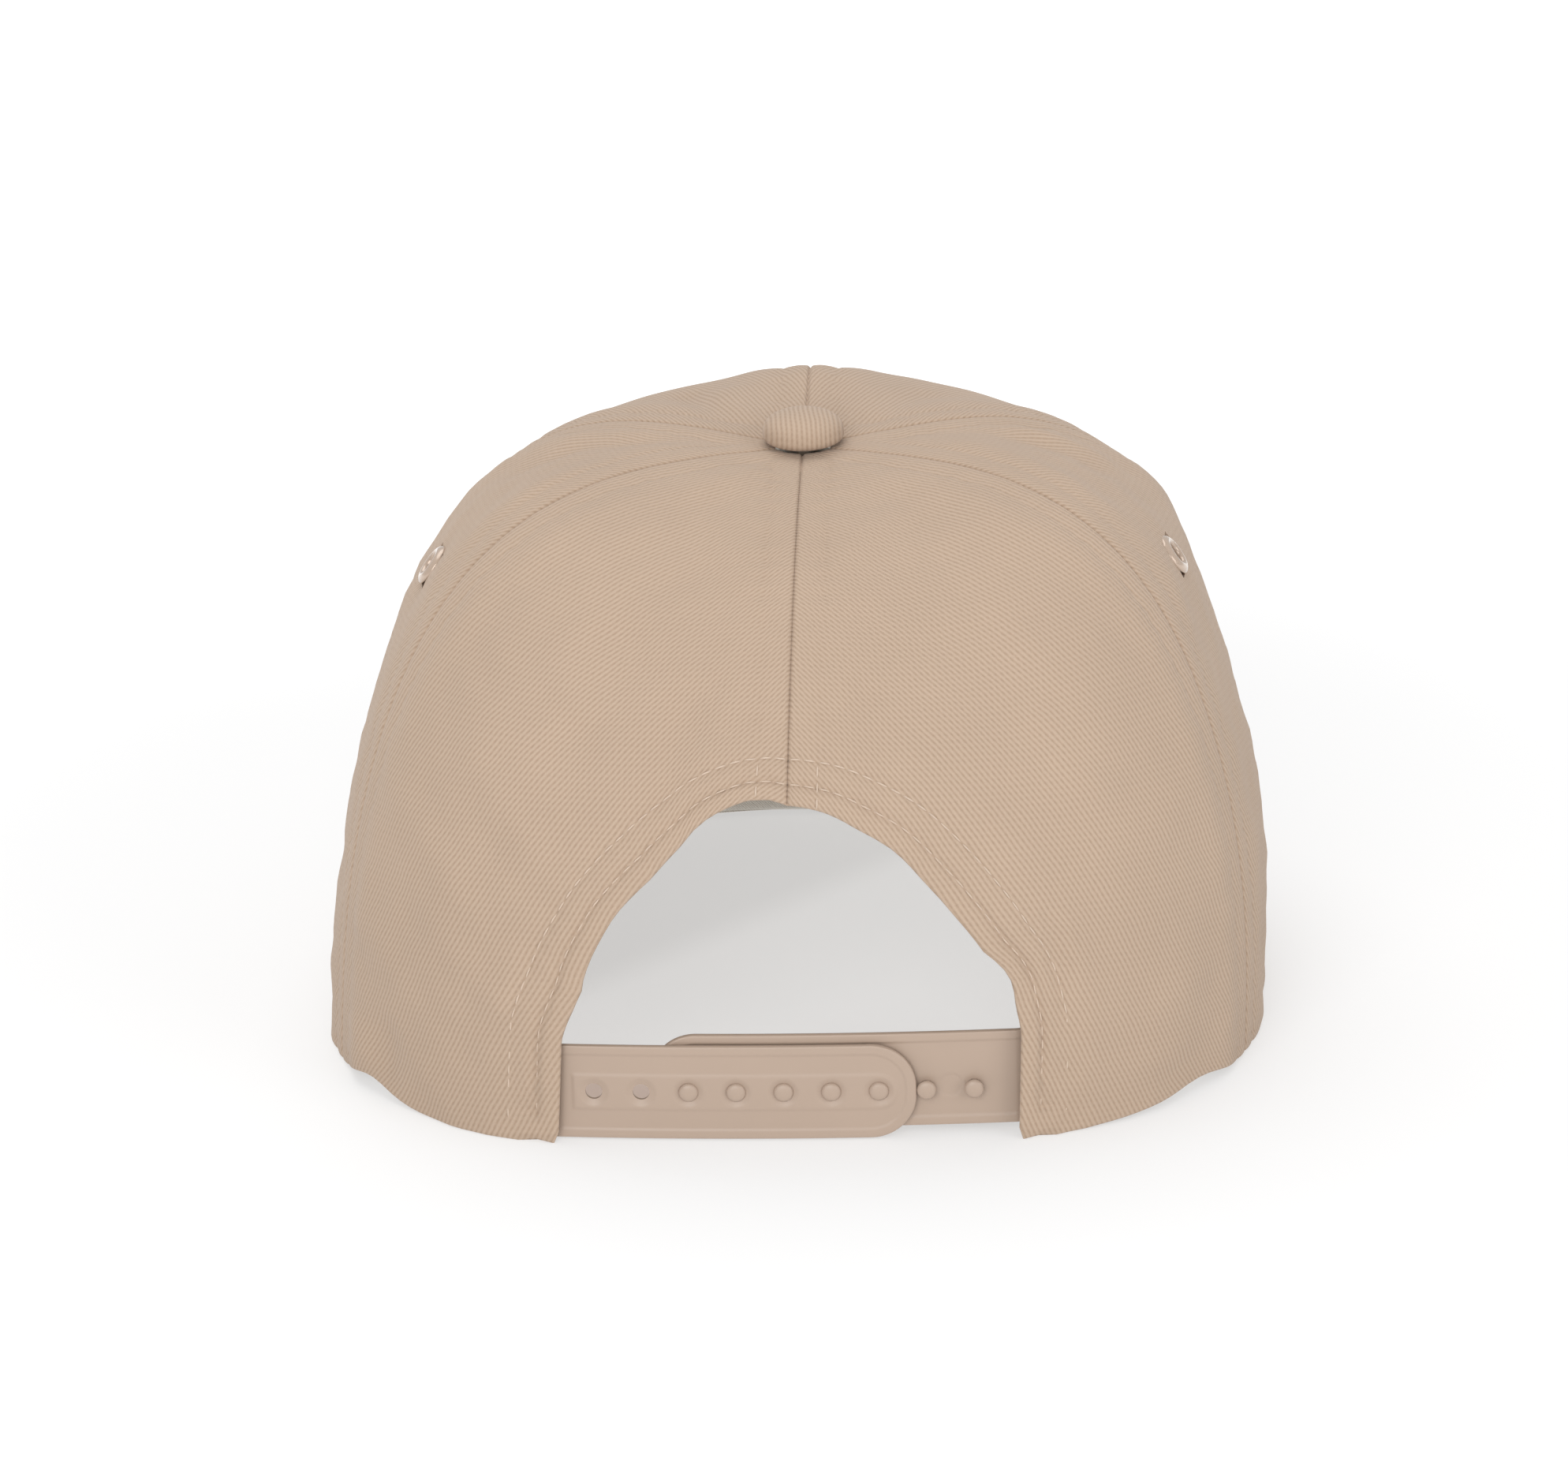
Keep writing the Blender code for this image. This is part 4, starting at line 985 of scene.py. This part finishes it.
def around_all(inside):
    """Whether a grid point's eight neighbours are all inside."""
    rows, columns = inside.shape
    padded = np.pad(inside, 1)
    shifts = [padded[1 + i:1 + i + rows, 1 + j:1 + j + columns] for i in (-1, 0, 1) for j in (-1, 0, 1)
              if i or j]
    return np.all(shifts, axis=0)


def strap_grid(middle, holes):
    """Places along and up a strap. Points next to a hole's edge are moved onto it."""
    columns = int((STRAP_LENGTH + STRAP_ROOT) / STRAP_STEP)
    s = np.linspace(-STRAP_ROOT, STRAP_LENGTH, columns + 1)
    tip_start = STRAP_LENGTH - STRAP_TIP
    end = s > tip_start
    turn = (s[end] - tip_start) / STRAP_TIP
    s[end] = tip_start + STRAP_TIP * np.sin(turn * math.pi / 2) * 0.9999
    shares = eased_steps(68, 0.35) * 2 - 1
    grid_s = np.broadcast_to(s[None, :], (len(shares), len(s))).copy()
    grid_z = middle + shares[:, None] * half_height(s)[None, :]
    if not holes:
        return grid_s, grid_z, None
    for snap in STRAP_SNAPS:
        ds, dz = grid_s - snap, grid_z - SNAP_Z
        r = np.hypot(ds, dz)
        inside = r < HOLE_RADIUS
        scale = np.where(inside & ~around_all(inside), HOLE_RADIUS / np.maximum(r, 1e-9), 1)
        grid_s, grid_z = snap + ds * scale, SNAP_Z + dz * scale
    nearest = np.min([np.hypot(grid_s - p, grid_z - SNAP_Z) for p in STRAP_SNAPS], axis=0)
    core = nearest < HOLE_RADIUS * 1.0001
    return grid_s, grid_z, ~(core[:-1, :-1] & core[1:, :-1] & core[:-1, 1:] & core[1:, 1:])


def make_strap(name, strap, holes):
    middle = strap["bottom"] + STRAP_HEIGHT / 2
    s, z, keep = strap_grid(middle, holes)
    gap = strap_outline_gap(s, z, middle)
    depth = strap_relief(s, z, middle, gap, holes)
    inside = np.clip(STRAP_ROUNDING - gap, 0, STRAP_ROUNDING)
    rolled = STRAP_ROUNDING - np.sqrt(np.maximum(STRAP_ROUNDING ** 2 - inside ** 2, 0))
    outer = strap_place(strap, s, depth + rolled, z)
    inner = strap_place(strap, s, STRAP_THICKNESS - rolled, z)
    item = sheet_object(name, outer, inner, PLASTIC, None, keep, 35)
    return item


def make_pegs():
    """The peg strap's press studs: short stems with rounded heads, all in one piece."""
    segments = 28
    stem, head = PEG_STEM, PEG_HEAD
    profile = [(stem + 0.25 * MM, 0.2 * MM), (stem, 0.0), (stem, -0.9 * MM), (head - 0.1 * MM, -1.05 * MM),
               (head, -1.2 * MM), (head - 0.1 * MM, -1.5 * MM), (head - 0.4 * MM, -1.75 * MM),
               (head - 1.0 * MM, -1.88 * MM)]
    turns = math.tau * np.arange(segments) / segments
    spots = np.stack([np.cos(turns), 0 * turns, np.sin(turns)], -1)
    studs = np.concatenate([spots * radius + (0, out, 0) for radius, out in profile]
                           + [np.array([[0.0, PEG_TOP, 0.0]])])
    vertices, faces = [], []
    for snap in STRAP_SNAPS:
        centre = strap_place(PEG_STRAP, np.array([snap]), 0.0, np.array([SNAP_Z]))[0]
        first = len(vertices)
        vertices.extend(centre + studs)
        last = first + (len(profile) - 1) * segments
        tip = last + segments
        for k in range(segments):
            n = (k + 1) % segments
            faces.extend((a + k, a + n, a + n + segments, a + k + segments)
                         for a in range(first, last, segments))
            faces.append((last + k, last + n, tip))
        faces.append(tuple(first + k for k in range(segments)))
    item = new_object("peg_strap_studs", vertices, faces, PLASTIC, 50)
    flip_if_inside_out(item)
    fix(item, "peg_strap_free", "strap_plastic")


def make_closure():
    """Both straps, each running on past its pivot to a root that follows the crown's wall, and the peg
    strap's studs.
    """
    for name, strap in (("hole_strap", HOLE_STRAP), ("peg_strap", PEG_STRAP)):
        item = make_strap(name + "_moulding", strap, strap is HOLE_STRAP)
        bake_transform(item)
        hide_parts(name, name + "_tab")
    make_pegs()


# ---------------------------------------------------------------- brim

BRIM_SEAM_CLEARANCE = 1.3 * MM
BRIM_CORNER_ANGLE = math.radians(25)
BRIM_HALF_WIDTH = 92 * MM
BRIM_CORNER_Y = 42 * MM
BRIM_TIP_Y = 165 * MM
BRIM_EXPONENT = 2.6
BRIM_ARCHING = 6 * MM
BRIM_BOTTOM = 0.4 * MM
BRIM_THICKNESS = 3.8 * MM
BRIM_CORE = 1.7 * MM
BRIM_ROWS_OF_STITCHES = 8
BRIM_STITCH_START = 5 * MM
BRIM_STITCH_GAP = 6.5 * MM


def front_rim(angle):
    """Points on the crown's rim seen from above, and the directions straight out from it."""
    ahead, behind = rim_point(angle + 1e-3), rim_point(angle - 1e-3)
    away = unit(np.stack([ahead[1] - behind[1], behind[0] - ahead[0]], -1))
    return np.stack(rim_point(angle), -1), away


def brim_grid(columns=150, rows=70):
    share = np.linspace(0, 1, columns + 1)
    angle = lerp(BRIM_CORNER_ANGLE, math.pi - BRIM_CORNER_ANGLE, share)
    rim, away = front_rim(angle)
    inner = rim + away * BRIM_SEAM_CLEARANCE
    turn = math.pi * share
    power = 2 / BRIM_EXPONENT
    outer = np.stack([BRIM_HALF_WIDTH * signed_power(np.cos(turn), power),
                      BRIM_CORNER_Y + (BRIM_TIP_Y - BRIM_CORNER_Y) * np.abs(np.sin(turn)) ** power], -1)
    reach = 0.5 - 0.5 * np.cos(math.pi * np.linspace(0, 1, rows + 1))
    reach = lerp(np.linspace(0, 1, rows + 1), reach, 0.6)
    plan = lerp(inner[None], outer[None], reach[:, None, None])
    return plan, outer, reach[:, None] + 0 * share[None, :]


def make_brim():
    """The two covers, with quilted rows of stitching, closed in a rounded lip."""
    plan, outer_edge, reach = brim_grid()
    flat = np.concatenate([plan, np.zeros(plan.shape[:2] + (1,))], -1)
    border = np.concatenate([outer_edge, np.zeros((len(outer_edge), 1))], -1)
    gap = distance_to_line(flat, border)
    rise = BRIM_ARCHING * reach * np.clip(1 - (plan[..., 0] / BRIM_HALF_WIDTH) ** 2, 0, None)
    middle = BRIM_BOTTOM + BRIM_THICKNESS / 2
    half = BRIM_THICKNESS / 2 * lerp(0.8, 1.0, smooth_step(gap, 0, 10 * MM))
    inside = np.clip(half - gap, 0, None)
    rolled = np.sqrt(np.maximum(half ** 2 - inside ** 2, 0))
    grooves = sum(bell(gap - BRIM_STITCH_START - k * BRIM_STITCH_GAP, 1.2 * MM)
                  for k in range(BRIM_ROWS_OF_STITCHES))
    quilt = 0.42 * MM * grooves
    noise = 0.15 * MM * soft_noise(flat, 30 * MM, 21)

    def level(height):
        return np.stack([plan[..., 0], plan[..., 1] + CROWN_CENTRE_Y, height], -1)

    top = level(middle + rise + rolled - quilt + noise)
    core = np.minimum(BRIM_CORE / 2, rolled * 0.5)
    core_top = level(middle + rise + core + noise)
    core_bottom = level(middle + rise - core + noise)
    bottom = level(middle + rise - rolled + quilt * 0.8 + noise)
    grain = np.stack([plan[..., 0] * 0.707 + plan[..., 1] * 0.707,
                      plan[..., 1] * 0.707 - plan[..., 0] * 0.707, 0 * plan[..., 0]], -1)
    for name, high, low, node in (("brim_top_twill", top, core_top, "brim_top_cover"),
                                  ("brim_under_twill", core_bottom, bottom, "brim_under_cover")):
        item = sheet_object(name, high, low, TWILL, grain)
        fix(item, "brim", "twill", node)
    runs = []
    for surface, direction in ((top, 1.0), (bottom, -1.0)):
        up = np.zeros_like(surface)
        up[..., 2] = direction
        turned_grid = (surface[::-1].swapaxes(0, 1), up.swapaxes(0, 1))
        gaps = gap[::-1].T
        for k in range(BRIM_ROWS_OF_STITCHES):
            line, ups = line_across_rows(*turned_grid, gaps, BRIM_STITCH_START + k * BRIM_STITCH_GAP,
                                         False, None)
            if len(line) > 3:
                runs.append((line, ups))
    fix(stitch_mesh(runs, "brim_topstitching", THREAD), "brim", "twill")


def make_brim_seam():
    """The strip where the brim's covers turn up into the crown's front edge."""
    count = 150
    angle = np.linspace(BRIM_CORNER_ANGLE + 0.01, math.pi - BRIM_CORNER_ANGLE - 0.01, count)
    heights = np.array([1.2, 2.2, 3.2, 4.2, 5.4, 6.8, 8.4, 10.0]) * MM
    rim, away = front_rim(angle)
    rows_out, rows_in = [], []
    for z in heights:
        out = lerp(1.7 * MM, -1.2 * MM, float(smooth_step(np.array(z), 2 * MM, 7 * MM)))
        for rows, offset in ((rows_out, out), (rows_in, out - 0.8 * MM)):
            spot = rim + away * offset
            rows.append(np.stack([spot[:, 0] + CROWN_LEAN * z, spot[:, 1] + CROWN_CENTRE_Y,
                                  np.full(count, z)], -1))
    item = sheet_object("brim_seam_strip", np.array(rows_out), np.array(rows_in), TWILL)
    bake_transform(item)


# ---------------------------------------------------------------- linings

TAPE_HALF_WIDTH = 8 * MM
FACING_CURVE = 0.6
FACING_REACH = (2.3 * MM, 12.0 * MM)
SWEATBAND_DEPTH = 3.4 * MM
SWEATBAND_THICKNESS = 2.0 * MM
SWEATBAND_LOW, SWEATBAND_HIGH = 1.5 * MM, 32 * MM


def dented_point(angle, rise):
    """Crown points that go down where the cloth is dented, and the crown's normals."""
    spot, out = outer_point(angle, rise), crown_normal(angle, rise)
    dent = np.minimum(swell_relief(angle, rise) + fold_relief(spot), 0)
    return spot + out * (dent * 1.1)[..., None], out


def strip_along_seam(node, seam, depths, left=False, low_gap=20 * MM):
    """A tape over the inside of a seam, with a soft fold down its middle."""
    foot = float(rise_at_height(np.array(seam[0]), low_gap))
    rises = np.linspace(foot, 0.985, 90)[:, None]
    across = np.linspace(-1, 1, 25)[None, :]
    reach = reach_and_height(seam_angle(seam, rises), rises)[0]
    x, y = rim_point(seam_angle(seam, rises))
    radius = np.hypot(x, y) * reach
    width = np.minimum(TAPE_HALF_WIDTH, radius * 0.42)
    base = seam_angle(seam, rises)
    x2, y2 = rim_point(base + 0.02)
    speed = np.hypot(x2 - x, y2 - y) / 0.02 * reach
    angle = base + across * width / np.maximum(speed, 1e-6)
    rise = rises + 0 * across
    if left:
        angle = math.pi - angle
    spot, out = dented_point(angle, rise)
    fold = 0.35 * MM * np.cos(across * math.pi * 2) * (1 - across ** 2) + 0.1 * MM * soft_noise(
        spot, 14 * MM, 31)
    outer = spot - out * (depths[0] + 0 * fold)[..., None]
    inner = spot - out * (depths[1] + np.maximum(fold, 0))[..., None]
    item = sheet_object(node + "_cloth", outer, inner, LINING)
    fix(item, "crown", "lining", node)


def make_tapes():
    rear, front = (1.3 * MM, 1.8 * MM), (2.4 * MM, 2.9 * MM)
    strip_along_seam("seam_tape_rear", REAR_SEAM, rear, False, ARCH_TOP + 10 * MM)
    strip_along_seam("seam_tape_front", FRONT_SEAM, front)
    for left in (False, True):
        side = "left" if left else "right"
        strip_along_seam("seam_tape_rear_side_" + side, REAR_SIDE_SEAM, rear, left)
        strip_along_seam("seam_tape_front_side_" + side, FRONT_SIDE_SEAM, front, left)


def make_buckram():
    """The stiff open-weave lining of the two front panels."""
    shares = np.linspace(0.012, 0.988, 60)[None, :]
    rises = np.linspace(0.02, 0.99, 80)[:, None]
    for left in (False, True):
        side = "left" if left else "right"
        angle = lerp(seam_angle(FRONT_SIDE_SEAM, rises), seam_angle(FRONT_SEAM, rises), shares)
        rise = rises + 0 * shares
        if left:
            angle = math.pi - angle
        spot, out = dented_point(angle, rise)
        wave = 0.08 * MM * soft_noise(spot, 20 * MM, 41)
        item = sheet_object(f"buckram_{side}_weave", spot - out * (1.3 * MM + 0 * wave)[..., None],
                            spot - out * (2.0 * MM + wave)[..., None], BUCKRAM)
        fix(item, "crown", "buckram", f"buckram_{side}")


def make_facing():
    """The twill facing that binds the inside of the arch, both halves in one strip."""
    x, height = arch_outline(np.linspace(0.0, 1, 110))
    angle, rise = locate_rear(x, np.maximum(height, 0.6 * MM))
    line = np.stack([angle, rise], -1)
    line = np.concatenate([line, np.stack([-math.pi - angle, rise], -1)[::-1][1:]])
    spot = outer_point(line[:, 0], line[:, 1])
    out = crown_normal(line[:, 0], line[:, 1])
    along = unit(np.gradient(spot, axis=0))
    away = unit(np.cross(along, out))
    away *= np.sign((away * (spot - np.array([0, CROWN_CENTRE_Y - 90 * MM, 25 * MM]))).sum(-1).mean())
    rows_out, rows_in = [], []
    for width in np.linspace(*FACING_REACH, 22):
        spot_w = spot + away * width
        bow = 0.15 * MM * math.sin(math.pi * width / (12 * MM))
        drop = (width ** 2 / (2 * 95 * MM)) * FACING_CURVE
        spot_w = arch_warp(spot_w, out, np.full(len(spot_w), width))
        rows_out.append(spot_w - out * (1.35 * MM + drop))
        rows_in.append(spot_w - out * (1.85 * MM + bow + drop))
    item = sheet_object("arch_facing_twill", np.array(rows_out), np.array(rows_in), TWILL)
    fix(item, "crown", "twill", "arch_facing")



def make_sweatband():
    """The padded band round the head, in one piece from hem to hem past the brim."""
    start, finish = HEM_ANGLE + 0.045, math.pi - HEM_ANGLE - 0.045
    angle = np.linspace(start, finish, 260)[None, :]
    heights = np.linspace(SWEATBAND_LOW, SWEATBAND_HIGH, 40)[:, None]
    level = heights + 0 * angle
    turn = angle + 0 * heights
    rise = rise_at_height(turn, level)
    spot, out = outer_point(turn, rise), crown_normal(turn, rise)
    share = (level - SWEATBAND_LOW) / (SWEATBAND_HIGH - SWEATBAND_LOW)
    ends = smooth_step(np.minimum(turn - start, finish - turn), 0, 0.09)
    half = SWEATBAND_THICKNESS / 2 * (0.45 + 0.55 * ends)
    edge = np.minimum(share, 1 - share) * (SWEATBAND_HIGH - SWEATBAND_LOW)
    inside = np.clip(half - edge, 0, None)
    rolled = np.sqrt(np.maximum(half ** 2 - inside ** 2, 0))
    deep = SWEATBAND_DEPTH + SWEATBAND_THICKNESS / 2 + (1 - ends) * 1.6 * MM
    soft = 0.25 * MM * soft_noise(spot, 17 * MM, 51) * ends
    stitched = 0.35 * MM * bell(level - SWEATBAND_HIGH + 4 * MM, 0.9 * MM)
    stitched = stitched + 0.35 * MM * bell(level - SWEATBAND_LOW - 4 * MM, 0.9 * MM)
    outer = spot - out * (deep - rolled)[..., None]
    inner = spot - out * (deep + rolled + soft - stitched)[..., None]
    item = sheet_object("sweatband_padded", outer, inner, LINING)
    fix(item, "crown", "lining", "sweatband", "sweatband_interlining")


# ---------------------------------------------------------------- the object

fix(crown_stitches(make_panels()), "crown", "twill")
make_button()
make_eyelets()
make_closure()
make_brim()
make_brim_seam()
make_tapes()
make_buckram()
make_facing()
make_sweatband()

for name, material in (("brim_board", BOARD), ("button_rivet", STEEL), ("eyelet_washer_left", STEEL),
                       ("eyelet_washer_right", STEEL)):
    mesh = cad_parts[name].data
    mesh.materials.clear()
    mesh.materials.append(material)
for name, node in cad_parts.items():
    if not node.hide_render and node.data.materials[0] not in (BOARD, STEEL):
        node.data.materials.clear()
        node.data.materials.append(TWILL)
        set_grain(node, [(v.co.x, v.co.y, v.co.z) for v in node.data.vertices])

# ---------------------------------------------------------------- floor, light and camera

CAMERA_ANGLES = (math.radians(2.7587), math.radians(20.212))
CAMERA_HEIGHT = 60 * MM
CAMERA_DISTANCE = 1.2
CAMERA_LENS = 130.78
CAMERA_SHIFT = (2.31 * MM, 5.45 * MM)
CAMERA_ROLL = math.radians(-1.6)
FLOOR_SIZE = 8.0
# Painted shadow on the floor behind the closure's first holes: its middle, its size and how dark it is
HOLE_SHADE_MIDDLE = (-0.033, -0.098)
HOLE_SHADE_SIZE = (0.026, 0.016)
HOLE_SHADE = 0.35
# Painted light: the floor's glow near the cap and far out, and the painted pool of light inside the cap
FLOOR_GLOW, FAR_GLOW, INNER_GLOW = 0.51, 0.9, 0.06


def floor_material():
    """Pale paper that lights itself a little, as painted light standing in for fill light: the floor in the
    cap's shade stays light grey, and it glows more further out so that the floor meets the background
    without an edge.
    """
    look = Look("floor_paper")
    place = look.add("TexCoord", {}, "Object")
    x, y = look.add("SeparateXYZ", {0: place}, 0), look.add("SeparateXYZ", {0: place}, 1)
    far = look.ramp(look.vector_math("LENGTH", place, output="Value"), 0.16, 0.55)
    level = look.math("MULTIPLY_ADD", far, FAR_GLOW - FLOOR_GLOW, FLOOR_GLOW)
    # Painted light: a glow on one side of the floor inside the cap stands in for light coming in through the
    # rear arch
    from_middle = look.vector_math("DISTANCE", place, (0, CROWN_CENTRE_Y, 0), output="Value")
    slant = look.math("MULTIPLY_ADD", x, 1.15, look.math("MULTIPLY", y, -1.0))
    inner = look.math("MULTIPLY", look.ramp(slant, -0.016, 0.008), INNER_GLOW)
    inner = look.math("MULTIPLY", inner, look.ramp(from_middle, 0.088, 0.080))
    level = look.math("ADD", level, inner)
    # A painted shadow on the floor behind the closure's first holes, tinted tan as painted light bounced off
    # the cloth round it
    offset = look.vector_math("SUBTRACT", place, (*HOLE_SHADE_MIDDLE, 0))
    scaled = look.vector_math("DIVIDE", offset, (*HOLE_SHADE_SIZE, 1))
    shade = look.ramp(look.vector_math("LENGTH", scaled, output="Value"), 1.0, 0.4)
    lit = look.math("MULTIPLY_ADD", shade, -HOLE_SHADE, 1.0)
    look.set(look.shader, {"Base Color": (0.42, 0.42, 0.42, 1), "Roughness": 0.9,
                           "Specular IOR Level": 0.0,
                           "Emission Color": look.mix((1, 1, 1), (1.0, 0.76, 0.64), shade),
                           "Emission Strength": look.math("MULTIPLY", level, lit)})
    return look.material


def make_floor():
    half = FLOOR_SIZE / 2
    corners = [(-half, -half, 0), (half, -half, 0), (half, half, 0), (-half, half, 0)]
    floor = new_object("floor", corners, [(0, 1, 2, 3)], floor_material())


def area_light(name, place, aim, size, power, colour=(1, 1, 1)):
    data = bpy.data.lights.new(name, "AREA")
    data.shape = "DISK"
    data.size = size
    data.energy = power
    data.color = colour
    light = bpy.data.objects.new(name, data)
    light.location = place
    light.rotation_euler = (Vector(place) - Vector(aim)).to_track_quat("Z", "Y").to_euler()
    bpy.context.scene.collection.objects.link(light)


def make_world():
    world = bpy.data.worlds.new("studio")
    world.use_nodes = True
    background = world.node_tree.nodes["Background"]
    background.inputs[0].default_value = (1, 1, 1, 1)
    background.inputs[1].default_value = 0.62
    bpy.context.scene.world = world


def make_camera():
    """A long lens behind the cap and a little above it, aimed just below and left of its middle."""
    azimuth, elevation = CAMERA_ANGLES
    back = Vector((math.sin(azimuth) * math.cos(elevation), -math.cos(azimuth) * math.cos(elevation),
                   math.sin(elevation)))
    target = Vector((0, CROWN_CENTRE_Y, CAMERA_HEIGHT))
    place = target + back * CAMERA_DISTANCE
    right = Vector((0, 0, 1)).cross(back).normalized()
    up = back.cross(right)
    aim = target - right * CAMERA_SHIFT[0] - up * CAMERA_SHIFT[1]
    data = bpy.data.cameras.new("camera")
    data.lens = CAMERA_LENS
    camera = bpy.data.objects.new("camera", data)
    turn = (place - aim).to_track_quat("Z", "Y").to_matrix()
    roll = Matrix.Rotation(CAMERA_ROLL, 3, "Z")
    camera.matrix_world = Matrix.Translation(place) @ (turn @ roll).to_4x4()
    data.clip_start = 0.05
    bpy.context.scene.collection.objects.link(camera)
    bpy.context.scene.camera = camera


make_floor()
make_world()
area_light("key", (-0.35, -1.7, 0.8), (0, -0.04, 0.05), 1.3, 16)
area_light("fill", (1.5, -1.2, 0.7), (0, -0.04, 0.05), 1.2, 9)
area_light("top", (-0.25, 0.5, 1.5), (0, 0.0, 0.05), 1.6, 12)
make_camera()
bpy.context.scene.view_settings.view_transform = "Standard"
